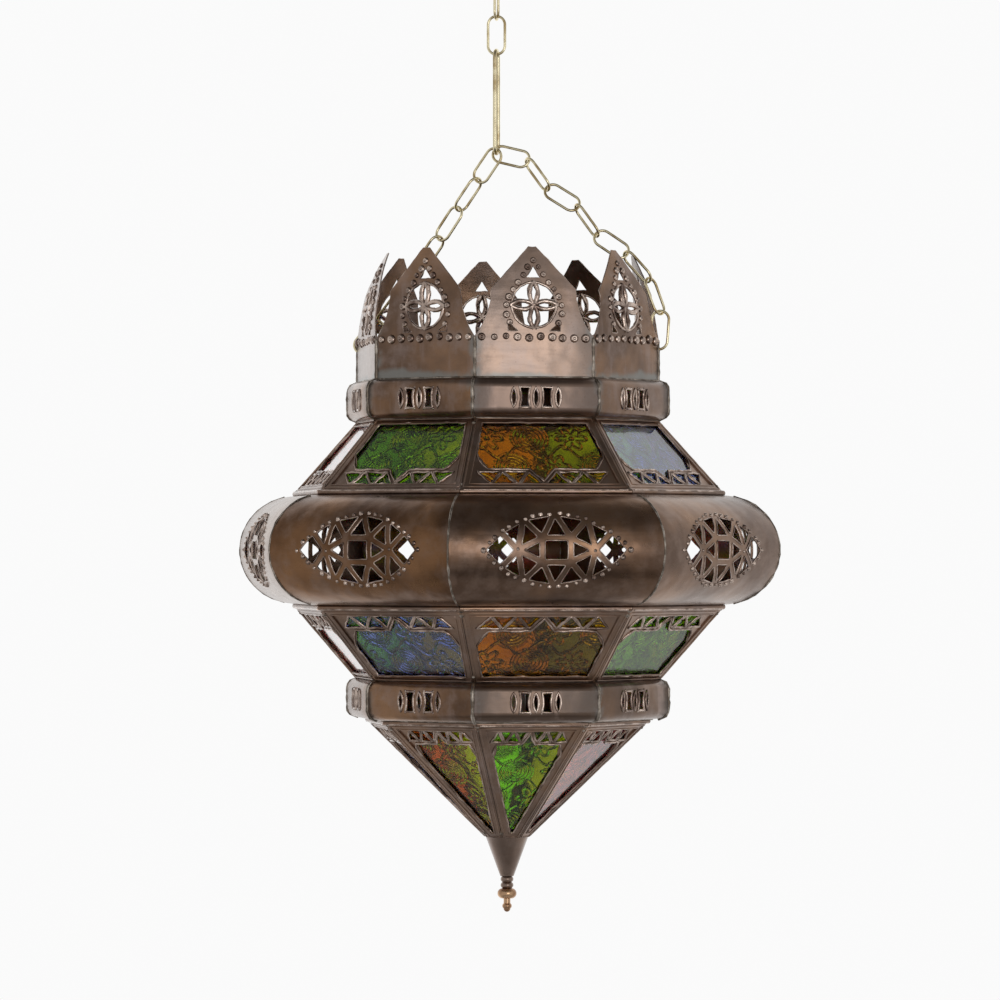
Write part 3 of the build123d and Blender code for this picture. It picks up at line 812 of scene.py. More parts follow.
@dataclass
class Crown:
    """Eight bent petals above a plain skirt, pierced with roses and set with beads."""

    plan: Octagon
    apothem: float = 0.0930
    foot: float = 0.1096
    row: float = 0.1351
    petal_height: float = 0.0577
    shoulder: Point = (0.0272, 0.0305)
    tip_half: float = 0.0025
    edge_hollow: float = 0.0028
    edge_steps: int = 10
    edge_step: float = 0.0040
    leans: tuple[float, ...] = (0.009, 0.012, 0.005, 0.008, 0.014, 0.0015, 0.007, 0.010)
    rose_height: float = 0.0204
    rose_radius: float = 0.0153
    arm_swell: float = 0.0027
    arm_bar: float = 0.0016
    arm_steps: int = 9
    ring_share: float = 0.95
    ring_bar: float = 0.0009
    ring_steps: int = 40
    spandrel: tuple[Point, ...] = ((0.010, 0.0038), (0.017, 0.0038), (0.017, 0.0102))
    peak: tuple[Point, ...] = ((-0.0044, 0.038), (0.0044, 0.038), (0.0, 0.045))
    cell_step: float = 0.0025
    rim: float = 0.0003
    sink: float = 0.0004
    row_beads: int = 10
    row_bead: float = 0.0028
    row_share: float = 0.97
    row_wander: float = 0.0007
    arch_centre: float = 0.0175
    arch_radius: float = 0.0178
    arch_peak: float = 0.0492
    arch_start: float = -28.0
    arch_bead: float = 0.0022
    arch_pitch: float = 0.0056
    bead_wander: Point = (0.0005, 0.0004)
    bead_sizes: Point = (0.78, 1.2)
    seed: int = 11

    @property
    def half(self) -> float:
        """Half width of a panel."""
        return self.apothem * self.plan.half_tan

    def bend(self, number: int) -> float:
        """Radius that a petal is bent to."""
        return (self.petal_height**2 + self.leans[number] ** 2) / (2 * self.leans[number])

    def outwards(self, number: int, up: float) -> Vector:
        """Direction that a panel's front faces at a height above the bead row."""
        rise = max(up, 0.0) / self.bend(number)
        return Vector((math.sqrt(1 - rise**2), 0.0, rise))

    def skin(self, number: int, spot: Point, sink: float = 0.0) -> Vector:
        """Finds a point on a panel's front, or a little behind it.

        Args:
            number: Side of the lantern.
            spot: Distance across, and height above the bead row.
            sink: How far behind the front.

        Returns:
            The point in the panel's own frame.
        """
        across, up = spot
        bend = self.bend(number)
        radius = self.apothem - (bend - math.sqrt(bend**2 - max(up, 0.0) ** 2))
        return Vector((radius, across, self.row + up)) - self.outwards(number, up) * sink

    def edge(self) -> Line:
        """Draws the free edge of a petal.

        Returns:
            The line from one corner of the skirt over the tip to the other.
        """
        tip = [self.shoulder, (self.tip_half, self.petal_height), (0.0, self.petal_height)]
        right = bow((self.half, 0.0), self.shoulder, self.edge_hollow, self.edge_steps)
        right += divided(tip, self.edge_step, closed=False)
        return right + mirrored(reversed(right[:-1]))

    def arms(self) -> list[Line]:
        """Draws the bars of the rose's four arms.

        Returns:
            Two bowed lines for each arm.
        """
        bars = []
        for quarter in range(4):
            end = polar(self.rose_radius, quarter * math.pi / 2, self.rose_height)
            for swell in (self.arm_swell, -self.arm_swell):
                bars.append([*bow((0.0, self.rose_height), end, swell, self.arm_steps), end])
        return bars

    def ring(self) -> Line:
        """The ring round the rose."""
        turns = [step * math.tau / self.ring_steps for step in range(self.ring_steps)]
        return [polar(self.ring_share * self.rose_radius, turn, self.rose_height) for turn in turns]

    def cells(self) -> list[Line]:
        """The small openings: two spandrels and the peak."""
        corner, peak = (divided(shape, self.cell_step, closed=True) for shape in (self.spandrel, self.peak))
        return [corner, mirrored(corner), peak]

    def arch(self) -> Line:
        """Spaces the beads that outline the pierced field.

        Returns:
            Their places: up both sides round the rose, then straight to the peak.
        """
        height = self.arch_peak - self.arch_centre
        touch = math.pi / 2 - math.acos(self.arch_radius / height)
        start = math.radians(self.arch_start)
        curve = self.arch_radius * (touch - start)
        straight = math.sqrt(height**2 - self.arch_radius**2)
        count = round((curve + straight) / self.arch_pitch)
        spring = polar(self.arch_radius, touch, self.arch_centre)
        tip = (0.0, self.arch_peak)
        places: Line = []
        for step in range(count):
            along = step * (curve + straight) / count
            if along < curve:
                spot = polar(self.arch_radius, start + along / self.arch_radius, self.arch_centre)
            else:
                spot = between(spring, tip, (along - curve) / straight)
            places += [spot, *mirrored([spot])]
        return [*places, tip]

    def build(self, wires: WireTree, beads: BeadTree, finish: Finish) -> None:
        """Makes the crown's rims, bars and beads.

        Args:
            wires: Tree for the rims and bars.
            beads: Tree for the beads.
            finish: Finish of the raised work.
        """
        draw = random.Random(self.seed)
        rims = Marks()
        domes = Marks()
        for number, place in enumerate(self.plan.sides()):
            for line, radius in [(self.edge(), self.rim), *((arm, self.arm_bar) for arm in self.arms())]:
                rims.add_line([self.skin(number, spot, self.sink) for spot in line], radius, place)
            for line, radius in [(self.ring(), self.ring_bar), *((cell, self.rim) for cell in self.cells())]:
                rims.add_line([self.skin(number, spot) for spot in line], radius, place, closed=True)
            spots = []
            for step in range(self.row_beads):
                across = ((step + 0.5) / self.row_beads * 2 - 1) * self.half * self.row_share
                spots.append(((across, draw.uniform(-self.row_wander, self.row_wander)), self.row_bead))
            spots += [(spot, self.arch_bead) for spot in self.arch()]
            for spot, radius in spots:
                moved = shaken(draw, spot, self.bead_wander)
                size = radius * draw.uniform(*self.bead_sizes)
                domes.add_bead(self.skin(number, moved), self.outwards(number, moved[1]), size, place)
        wires.piece("crown_rims", rims, finish, wander=0.0014, swing=1.1, sides=8)
        beads.piece("crown_beads", domes, finish, height_share=0.95, hollow=1.0, segments=10, rings=5)


@dataclass
class Band:
    """A rolled band with five slots on each side, their rims raised by the punch."""

    name: str
    plan: Octagon
    low: float
    height: float = 0.0255
    apothem: float = 0.0992
    round_radius: float = 0.0065
    slot_height: float = 0.0126
    lens_width: float = 0.0036
    lens_steps: int = 9
    block_width: float = 0.0070
    block_waist: float = 0.0050
    block_steps: tuple[int, int] = (8, 4)
    pitch: float = 0.0072
    rim: float = 0.0008
    dot: float = 0.0008
    dot_gap: float = 0.0006

    def slot_line(self, place: int) -> Line:
        """Outlines one slot: lenses and waisted blocks take turns.

        Args:
            place: Place in the row, 0 in the middle.

        Returns:
            A closed line about the band's middle height.
        """
        x = place * self.pitch
        y = self.slot_height / 2
        if place % 2 == 0:
            corners = [(x, -y), (x, y)]
            swells, counts = (-self.lens_width / 2,) * 2, (self.lens_steps,) * 2
        else:
            half = self.block_width / 2
            corners = [(x + half, -y), (x + half, y), (x - half, y), (x - half, -y)]
            hollow = (self.block_width - self.block_waist) / 2
            swells, counts = (hollow, 0.0) * 2, self.block_steps * 2
        line: Line = []
        for start, end, swell, count in zip(corners, [*corners[1:], corners[0]], swells, counts):
            line += bow(start, end, swell, count)
        return line

    def skin(self, spot: Point) -> Vector:
        """Finds a point on the band's front.

        Args:
            spot: Distance across, and height from the band's middle.

        Returns:
            The point in the side's own frame.
        """
        flat = self.height / 2 - self.round_radius
        over = max(abs(spot[1]) - flat, 0.0)
        drop = self.round_radius - math.sqrt(max(self.round_radius**2 - over**2, 0.0))
        return Vector((self.apothem - drop, spot[0], self.low + self.height / 2 + spot[1]))

    def build(self, wires: WireTree, beads: BeadTree, finish: Finish) -> None:
        """Makes the rims of the slots and the punch dots between them.

        Args:
            wires: Tree for the rims.
            beads: Tree for the dots.
            finish: Finish of the raised work.
        """
        rims = Marks()
        domes = Marks()
        outwards = Vector((1.0, 0.0, 0.0))
        dot_height = self.slot_height / 2 + self.dot_gap
        for place in self.plan.sides():
            for slot in range(-2, 3):
                line = [self.skin(spot) for spot in self.slot_line(slot)]
                rims.add_line(line, self.rim, place, closed=True)
            for step in (-1.5, -0.5, 0.5, 1.5):
                for up in (dot_height, -dot_height):
                    domes.add_bead(self.skin((step * self.pitch, up)), outwards, self.dot, place)
        wires.piece(f"{self.name}_rims", rims, finish, wander=0.0010, swing=1.3, sides=8)
        beads.piece(f"{self.name}_dots", domes, finish, height_share=0.9, hollow=0.0, segments=8, rings=4)


@dataclass
class Belly:
    """The half-round middle tier with a pierced lens on each side."""

    plan: Octagon
    apothem: float = 0.1663
    edge_apothem: float = 0.1335
    half_height: float = 0.0352
    lens_half: Point = (0.0472, 0.0232)
    hub: float = 0.0245
    square: Point = (0.0090, 0.0076)
    near: float = 0.0205
    far: float = 0.0355
    bar: float = 0.0033
    corner: float = 0.0012
    rim: float = 0.00045
    rim_step: float = 0.0025
    bead: float = 0.0016
    bead_stand: float = -0.0006
    bead_pitch: float = 0.0056
    bead_wander: Point = (0.0006, 0.0005)
    bead_sizes: Point = (0.8, 1.25)
    border_steps: int = 200
    hub_dot: float = 0.0011
    hub_gap: float = 0.005
    hub_wander: float = 0.001
    seed: int = 5

    @property
    def bulge(self) -> float:
        """Radius of the half-round section."""
        depth = self.apothem - self.edge_apothem
        return (depth**2 + self.half_height**2) / (2 * depth)

    def outwards(self, up: float) -> Vector:
        """Direction that the front faces at a height."""
        rise = up / self.bulge
        return Vector((math.sqrt(1 - rise**2), 0.0, rise))

    def skin(self, spot: Point) -> Vector:
        """Point on the front from its distance across and its height."""
        return Vector((self.apothem - self.bulge, spot[0], 0.0)) + self.outwards(spot[1]) * self.bulge

    def rim_height(self, across: float, grow: float = 0.0) -> float:
        """Finds the height of the lens's upper edge, or of one that stands off it.

        Args:
            across: Distance across.
            grow: How far outside the edge.

        Returns:
            The height above the belly's middle.
        """
        half, high = self.lens_half
        sag = (half**2 + high**2) / (2 * high)
        return math.sqrt((sag + grow) ** 2 - across**2) - sag + high

    def openings(self) -> list[Line]:
        """Outlines the lens's openings: a lattice from two hubs, a middle square and the rim.

        Returns:
            Closed lines. Each cell is drawn once and turned over to the sides that it repeats on.
        """
        top = (0.0, self.lens_half[1])
        near = (self.near, self.rim_height(self.near))
        far = (self.far, self.rim_height(self.far))
        tip = (self.lens_half[0], 0.0)
        hub = (self.hub, 0.0)
        square = self.square
        x, y = square
        cells = {
            (1, 1): [[square, (-x, y), (-x, -y), (x, -y)]],
            (1, -1): [[top, (-x, y), square]],
            (-1, 1): [[hub, square, (x, -y)], [hub, (far[0], -far[1]), tip, far]],
            (-1, -1): [[top, square, near], [near, square, hub], [hub, far, near]],
        }
        loops = []
        for (left, down), shapes in cells.items():
            for shape in shapes:
                for turn_x in {1, left}:
                    for turn_y in {1, down}:
                        corners = [(a * turn_x, b * turn_y) for a, b in shape]
                        loops.append(rounded(inset(corners, self.bar / 2), self.corner))
        return loops

    def border(self) -> Line:
        """Spaces the beads evenly round the lens.

        Returns:
            Their places above the middle, then those below it.
        """
        half = self.lens_half[0] + self.bead_stand
        fine = [half * (step / self.border_steps * 2 - 1) for step in range(self.border_steps + 1)]
        line = [(x, max(self.rim_height(x, self.bead_stand), 0.0)) for x in fine]
        runs = [math.dist(start, end) for start, end in zip(line, line[1:])]
        pitch = sum(runs) / round(sum(runs) / self.bead_pitch)
        places: Line = []
        along = 0.0
        for start, run in zip(line, runs):
            if along >= len(places) * pitch:
                places.append(start)
            along += run
        return places + [(-x, -y) for x, y in places]

    def build(self, wires: WireTree, beads: BeadTree, finish: Finish, edge: Finish) -> None:
        """Makes the rims and border beads of the eight lenses.

        Args:
            wires: Tree for the rims.
            beads: Tree for the beads.
            finish: Finish of the beads.
            edge: Finish of the rims.
        """
        draw = random.Random(self.seed)
        strips = Marks()
        domes = Marks()
        loops = [divided(loop, self.rim_step, closed=True) for loop in self.openings()]
        hubs = (self.hub, self.hub - self.hub_gap, -self.hub, self.hub_gap - self.hub)
        for place in self.plan.sides():
            for loop in loops:
                strips.add_line([self.skin(spot) for spot in loop], self.rim, place, closed=True)
            for spot in self.border():
                moved = shaken(draw, spot, self.bead_wander)
                size = self.bead * draw.uniform(*self.bead_sizes)
                domes.add_bead(self.skin(moved), self.outwards(moved[1]), size, place)
            for across in hubs:
                spot = (across, draw.uniform(-self.hub_wander, self.hub_wander))
                domes.add_bead(self.skin(spot), self.outwards(0.0), self.hub_dot, place)
        wires.piece("belly_lattice", strips, edge, wander=0.0009, swing=1.5, sides=7)
        beads.piece("belly_beads", domes, finish, height_share=0.85, hollow=0.0, segments=8, rings=4)


@dataclass(frozen=True)
class PressedPattern:
    """Relief of the panes: ring medallions and flowers in turn, with wavy stalks between their rows."""

    pitch: float = 0.027
    rise: float = 0.024
    line: float = 0.0007
    ring_gap: float = 0.0024
    ring_reach: float = 0.01176
    petal_foot: float = 0.0032
    petal_length: float = 0.0066
    petal_line: float = 0.00091
    heart: float = 0.00168
    stalk_swing: float = 0.0055

    def height(self, x: float, y: float, shift: float) -> float:
        """Finds the height of the relief at a place on a pane.

        Args:
            x: Distance across.
            y: Distance along the slope.
            shift: How far the pattern is moved along on this pane.

        Returns:
            The height, from 0 to 1.
        """
        row = round(y / self.rise)
        offset = (row % 2) * self.pitch / 2 + shift
        column = round((x - offset) / self.pitch)
        dx = x - offset - column * self.pitch
        dy = y - row * self.rise
        radius = math.hypot(dx, dy)
        wave = self.stalk_swing * math.sin((x - shift) * math.tau / self.pitch)
        height = max(ridge(y - (row + side) * self.rise + wave, self.line) for side in (0.5, -0.5))
        if (row + column) % 2 == 0:
            petal = self.petal_foot + self.petal_length * abs(math.cos(3 * math.atan2(dy, dx)))
            height = max(height, ridge(radius - petal, self.petal_line), ridge(radius, self.heart))
        elif radius < self.ring_reach:
            height = max(height, ridge(radius - round(radius / self.ring_gap) * self.ring_gap, self.line))
        return height


@dataclass
class GlazedTier:
    """Eight sloping frames with pierced lace along the wide edge, and their pressed panes."""

    name: str
    plan: Octagon
    wide: Point
    narrow: Point
    colours: tuple[Glass, ...]
    sheet: float = 0.0008
    pocket: float = 0.0032
    wall: float = 0.0012
    clearance: float = 0.0003
    rear_lip: float = 0.0030
    border: float = 0.0054
    border_rise: float = 0.0007
    border_line: float = 0.00045
    border_step: float = 0.005
    line_inset: float = 0.0014
    line_foot: float = 0.0036
    line_gap: float = 0.0006
    lace_base: float = 0.0080
    lace_height: float = 0.0100
    lace_bar: float = 0.0022
    lace_cells: int = 2
    lace_end: float = 0.75
    lace_rim: float = 0.00085
    lace_step: float = 0.003
    gusset_rise: float = 0.0130
    gusset_steps: int = 6
    side_step: float = 0.004
    rolled: float = 0.0018
    glint: float = 0.0008
    pattern: PressedPattern = PressedPattern()
    pattern_step: float = 0.0037

    @property
    def slant(self) -> float:
        """Length of a panel along its slope."""
        return math.dist(self.wide, self.narrow)

    @property
    def facing(self) -> Vector:
        """Direction that a panel's front faces."""
        scale = math.copysign(1 / self.slant, self.narrow[1] - self.wide[1])
        return Vector((self.narrow[1] - self.wide[1], 0.0, self.wide[0] - self.narrow[0])) * scale

    @property
    def depth(self) -> float:
        """Depth of a frame from its front to its back."""
        return 2 * self.sheet + self.pocket

    @property
    def mitre(self) -> float:
        """Half width lost to the corner mitre at the back of a frame."""
        return self.depth * self.facing.x * self.plan.half_tan

    @property
    def pane_ends(self) -> Point:
        """Where the pane's pocket starts and ends along the slope."""
        heel = self.depth * abs(self.facing.z) / self.facing.x
        return heel + self.wall, self.reach(self.mitre + self.wall)

    def reach(self, margin: float) -> float:
        """How far along the slope a drawing with a margin at its sides can go before it closes up."""
        taper = (self.half_width(0.0) - self.half_width(self.slant)) / self.slant
        return min(self.slant - self.wall, (self.half_width(0.0) - margin - self.lace_bar / 2) / taper)

    def half_width(self, along: float) -> float:
        """Half width of a panel's front at a distance from its wide edge."""
        return between(self.wide, self.narrow, along / self.slant)[0] * self.plan.half_tan

    def spot(self, place: Point, rise: float = 0.0) -> Vector:
        """Point on a panel's front, or above it, from its distance across and along the slope."""
        radius, height = between(self.wide, self.narrow, place[1] / self.slant)
        return Vector((radius, place[0], height)) + self.facing * rise

    def lace(self) -> list[Line]:
        """Outlines the lace's triangles and the window.

        Returns:
            Closed lines on a panel's front.
        """
        cell = (self.half_width(self.lace_base) - self.border) / (self.lace_cells + self.lace_end)
        top = self.lace_base + self.lace_height
        sill = top + self.lace_bar
        reach = cell / 2 - self.lace_bar / 2
        loops = []
        for number in range(self.lace_cells):
            upright = ((number + 0.5) * cell, self.lace_base, top)
            hanging = ((number + 1) * cell, top, self.lace_base)
            for side in (1, -1):
                for middle, foot, tip in (upright, hanging):
                    corners = [(middle - reach, foot), (middle + reach, foot), (middle, tip)]
                    corners = [(side * x, y) for x, y in corners]
                    loops.append(divided(corners, self.lace_step, closed=True))
        high = min(self.pane_ends[1] - self.rear_lip, self.reach(self.border))
        haunch = (self.half_width(sill + self.gusset_rise) - self.border, sill + self.gusset_rise)
        head = (self.half_width(high) - self.border, high)
        spring = (self.lace_cells * cell, sill)
        dip = [(0.0, self.lace_base + self.lace_bar), (reach, sill), spring]
        right = divided(dip, self.lace_step, closed=False)[:-1]
        right += bow(spring, haunch, -self.lace_bar / 2, self.gusset_steps)
        right += divided([haunch, head, (0.0, high)], self.side_step, closed=False)
        return [*loops, right + mirrored(reversed(right[1:-1]))]

    def border_lines(self) -> list[Line]:
        """Draws the two lines that run round the raised border.

        Returns:
            Closed lines.
        """
        outer = self.line_inset
        inner = self.border - self.line_gap
        loops = []
        for margin, low in ((outer, outer + self.line_foot), (inner, self.lace_base - self.line_gap)):
            high = min(self.slant - margin, self.pane_ends[1], self.reach(margin))
            foot = self.half_width(low) - margin
            head = self.half_width(high) - margin
            corners = [(-foot, low), (foot, low), (head, high), (-head, high)]
            loops.append(divided(corners, self.border_step, closed=True))
        return loops

    def pane(self, number: int, cell: float, relief: float) -> tuple[list[Vector], list[tuple[int, ...]]]:
        """Makes one pressed pane on its side of the lantern.

        Args:
            number: Side of the lantern.
            cell: Size of a cell of the pressed inner side.
            relief: Depth of the relief.

        Returns:
            Corners and faces of a closed pane.
        """
        low, high = self.pane_ends[0] + self.clearance, self.pane_ends[1] - self.clearance
        margin = self.mitre + self.wall + self.clearance
        rows = math.ceil((high - low) / cell)
        columns = math.ceil(2 * (self.half_width(low) - margin) / cell)
        wide = columns + 1
        back = -(self.sheet + self.pocket - self.clearance)
        place = self.plan.side(number)
        corners: list[Vector] = []
        for row in range(rows + 1):
            along = low + (high - low) * row / rows
            half = self.half_width(along) - margin
            for column in range(wide):
                across = (column / columns * 2 - 1) * half
                fall = (1 - self.pattern.height(across, along, self.pattern_step * number)) * relief
                corners.append(place @ self.spot((across, along), back + fall))
        faces: list[tuple[int, ...]] = []
        for row in range(rows):
            for first in range(row * wide, row * wide + columns):
                faces.append((first, first + 1, first + wide + 1, first + wide))
        rim = [*range(wide), *(row * wide + columns for row in range(1, rows + 1))]
        rim += [rows * wide + column for column in range(columns - 1, -1, -1)]
        rim += [row * wide for row in range(rows - 1, 0, -1)]
        base = len(corners)
        outward = place.to_3x3() @ self.facing
        front = place @ self.spot((0.0, low), -(self.sheet + self.clearance))
        corners += [corners[index] - outward * (corners[index] - front).dot(outward) for index in rim]
        for step, index in enumerate(rim):
            after = (step + 1) % len(rim)
            faces.append((rim[after], index, base + step, base + after))
        faces.append(tuple(base + step for step in reversed(range(len(rim)))))
        if self.facing.z > 0:
            faces = [face[::-1] for face in faces]
        return corners, faces

    def build(self, wires: WireTree, finish: Finish, plain: Finish) -> None:
        """Makes the raised edges of the lace, the lines on the borders and the crests of the rolled edges.

        Args:
            wires: Tree for the edges, lines and crests.
            finish: Finish of the lace and the crests.
            plain: Finish of the lines.
        """
        lace, borders, crests = Marks(), Marks(), Marks()
        half = self.half_width(self.rolled) - self.rolled
        crest = divided([(-half, self.rolled), (half, self.rolled)], self.side_step, closed=False)
        crest_line = [self.spot(spot, self.rolled - self.glint / 2) for spot in crest]
        for place in self.plan.sides():
            for loop in self.lace():
                lace.add_line([self.spot(spot) for spot in loop], self.lace_rim, place, closed=True)
            for loop in self.border_lines():
                raised = [self.spot(spot, self.border_rise) for spot in loop]
                borders.add_line(raised, self.border_line, place, closed=True)
            crests.add_line(crest_line, self.glint, place)
        wires.piece(f"{self.name}_lace", lace, finish, wander=0.0024, swing=1.5, sides=7)
        wires.piece(f"{self.name}_borders", borders, plain, wander=0.0004, swing=0.3, sides=7)
        wires.piece(f"{self.name}_crests", crests, finish, wander=0.0004, swing=0.4, sides=8)


@dataclass
class Glazing:
    """All the panes, one piece for each colour of glass."""

    tiers: Sequence[GlazedTier]
    cell: float = 0.0007
    relief_depth: float = 0.0008

    def build(self) -> None:
        """Makes the pressed panes of every tier and puts them in place of their nodes."""
        for glass in Glass:
            corners: list[Vector] = []
            faces: list[tuple[int, ...]] = []
            for tier in self.tiers:
                for number, colour in enumerate(tier.colours):
                    if colour is glass:
                        more, sheets = tier.pane(number, self.cell, self.relief_depth)
                        faces += [tuple(index + len(corners) for index in face) for face in sheets]
                        corners += more
            mesh = bpy.data.meshes.new(f"pressed_{glass.node}")
            mesh.from_pydata(corners, [], faces)
            mesh.polygons.foreach_set("use_smooth", [len(face) == 4 for face in faces])
            mesh.materials.append(glass.finish.material())
            dress(placed(f"pressed_{glass.node}", mesh), glass.slot, glass.node)


@dataclass
class Seams:
    """Solder along the joints of the sheet-metal pieces."""

    plan: Octagon
    crown: Crown
    bands: Sequence[Band]
    belly: Belly
    tiers: Sequence[GlazedTier]
    corner_bead: float = 0.0012
    belly_bead: float = 0.0007
    ring_bead: float = 0.0006
    skirt_step: float = 0.003
    half_steps: int = 12
    belly_share: float = 0.98
    foot_stand: float = 0.0003
    neck: float = 0.0040
    neck_drop: float = 0.0001
    dab: float = 0.0021
    dab_sizes: Point = (0.6, 1.15)
    dab_low: Point = (0.0035, 0.0075)
    dab_high: float = 0.0045
    seed: int = 3

    def profiles(self) -> list[tuple[float, Line]]:
        """Draws the corner joints of the crown, the bands and the belly.

        Returns:
            Radius of each joint, and distance and height along it, measured on the sides.
        """
        steps = self.half_steps
        skirt = [(self.crown.apothem, self.crown.foot), (self.crown.apothem, self.crown.row)]
        lines = [(self.corner_bead, divided(skirt, self.skirt_step, closed=False))]
        for band in self.bands:
            line = [band.skin((0.0, band.height * (step / steps - 0.5))) for step in range(steps + 1)]
            lines.append((self.corner_bead, [(point.x, point.z) for point in line]))
        reach = self.belly.half_height * self.belly_share
        heights = [reach * (step / steps - 1) for step in range(2 * steps + 1)]
        lines.append((self.belly_bead, [(self.belly.skin((0.0, height)).x, height) for height in heights]))
        return lines

    def rings(self) -> Line:
        """Finds the joints that run round the lantern.

        Returns:
            Their distances from the axis, and their heights.
        """
        upper, lower = self.bands
        flange = upper.apothem - upper.round_radius
        return [
            (self.crown.apothem + self.foot_stand, self.crown.foot),
            (flange, upper.low),
            (flange, lower.low + lower.height),
            (flange - self.neck, lower.low - self.neck_drop),
        ]

    def build(self, wires: WireTree, beads: BeadTree, finish: Finish) -> None:
        """Makes the solder of the corners and rings, and the dabs at the frames' corners.

        Args:
            wires: Tree for the long joints.
            beads: Tree for the dabs.
            finish: Finish of the solder.
        """
        draw = random.Random(self.seed)
        lines = Marks()
        dabs = Marks()
        reach = self.plan.corner_reach
        for place in self.plan.corners():
            for thick, profile in self.profiles():
                line = [Vector((radius * reach - thick / 2, 0.0, height)) for radius, height in profile]
                lines.add_line(line, thick, place)
            for tier in self.tiers:
                for along in (*self.dab_low, tier.slant - self.dab_high):
                    spot = tier.spot((0.0, along))
                    spot.x *= reach
                    dabs.add_bead(spot, tier.facing, self.dab * draw.uniform(*self.dab_sizes), place)
        middle = Matrix.Translation(self.plan.axis)
        for apothem, height in self.rings():
            lines.add_line(self.plan.ring(apothem, height), self.ring_bead, middle, closed=True)
        wires.piece("joint_solder", lines, finish, wander=0.0012, swing=1.3, sides=8)
        beads.piece("corner_dabs", dabs, finish, height_share=0.6, hollow=0.0, segments=9, rings=4)


@dataclass
class Studio:
    """White surroundings, one soft lamp, a pale floor and the camera."""

    plan: Octagon
    heading: float = 11.8
    distance: float = 3.33
    pixel: float = 0.000652
    picture: int = 1000
    belly_pixel: Point = (507.0, 550.0)
    sensor: float = 36.0
    near_side: float = 0.54
    overhead: float = 0.12
    backdrop: float = 0.96
    floor_drop: float = 1.45
    floor_radius: float = 1.1
    floor_steps: int = 64
    floor_grey: float = 0.8
    lamp_turn: float = 16.0
    lamp_away: float = 2.3
    lamp_rise: float = 0.08
    lamp_size: float = 1.1
    lamp_power: float = 6.8

    def around(self, turn: float, away: float, rise: float) -> Vector:
        """Point away from the axis and above the belly, turned by degrees to the right of the camera."""
        angle = math.radians(self.heading + turn)
        return self.plan.axis + Vector((away * math.sin(angle), -away * math.cos(angle), rise))

    def world(self) -> None:
        """White behind the lantern, half lit on the camera's side, dim overhead, and plain to the eye."""
        world = bpy.data.worlds.new("studio")
        bpy.context.scene.world = world
        world.use_nodes = True
        world.node_tree.nodes.clear()
        graph = Graph(world.node_tree)
        way = graph.add("ShaderNodeTexCoord", None, None, "Generated")
        parts = graph.add("ShaderNodeSeparateXYZ", None, {0: way})
        angle = math.radians(self.heading)
        behind = parts.output("Y") * math.cos(angle) - parts.output("X") * math.sin(angle)
        room = self.near_side + (1.0 - self.near_side) * behind.rise(0.0, 0.9)
        level = 1.0 - (abs(parts.output("Z")) - 0.2 * behind).rise(0.55, 0.90)
        room = self.overhead + (room - self.overhead) * level
        path = graph.add("ShaderNodeLightPath", None, None, "Is Camera Ray")
        seen = path | path.output("Is Transmission Ray")
        strength = self.backdrop * seen + (1.0 - seen) * room
        white = {"Color": (1.0, 1.0, 1.0, 1.0), "Strength": strength}
        graph.add("ShaderNodeOutputWorld", None, {"Surface": graph.add("ShaderNodeBackground", None, white)})

    def lamp(self) -> None:
        """One large soft lamp to the right of the camera."""
        data = bpy.data.lights.new("soft_lamp", "AREA")
        data.shape = "DISK"
        data.size = self.lamp_size
        data.energy = self.lamp_power
        lamp = placed("soft_lamp", data)
        lamp.location = self.around(self.lamp_turn, self.lamp_away, self.lamp_rise)
        lamp.rotation_mode = "QUATERNION"
        lamp.rotation_quaternion = (self.plan.axis - lamp.location).to_track_quat("-Z", "Y")
        lamp.visible_camera = False

    def floor(self) -> None:
        """A plain pale disc under the lantern."""
        turns = [step * math.tau / self.floor_steps for step in range(self.floor_steps)]
        rim = [Vector((*polar(self.floor_radius, turn), -self.floor_drop)) + self.plan.axis for turn in turns]
        mesh = bpy.data.meshes.new("floor")
        mesh.from_pydata(rim, [], [tuple(range(self.floor_steps))])
        pale = bpy.data.materials.new("pale_floor")
        pale.use_nodes = True
        shader = pale.node_tree.nodes["Principled BSDF"]
        shader.inputs["Base Color"].default_value = (self.floor_grey,) * 3 + (1.0,)
        shader.inputs["Roughness"].default_value = 0.9
        mesh.materials.append(pale)
        placed("floor", mesh)

    def camera(self) -> None:
        """The camera level with the belly, looking slightly up and to the left of the axis."""
        focal = self.distance / self.pixel
        data = bpy.data.cameras.new("camera")
        data.sensor_width = self.sensor
        data.lens = self.sensor * focal / self.picture
        turn = math.radians(self.heading) + math.atan2(self.belly_pixel[0] - self.picture / 2, focal)
        rise = math.atan2(self.belly_pixel[1] - self.picture / 2, focal)
        look = Vector((-math.sin(turn) * math.cos(rise), math.cos(turn) * math.cos(rise), math.sin(rise)))
        camera = placed("camera", data)
        camera.location = self.around(0.0, self.distance, 0.0)
        camera.rotation_euler = look.to_track_quat("-Z", "Y").to_euler()
        bpy.context.scene.camera = camera

    def build(self) -> None:
        """Sets up the surroundings."""
        bpy.context.scene.view_settings.view_transform = "Standard"
        self.world()
        self.lamp()
        self.floor()
        self.camera()
        LOG.info("studio: camera %.2f m away", self.distance)


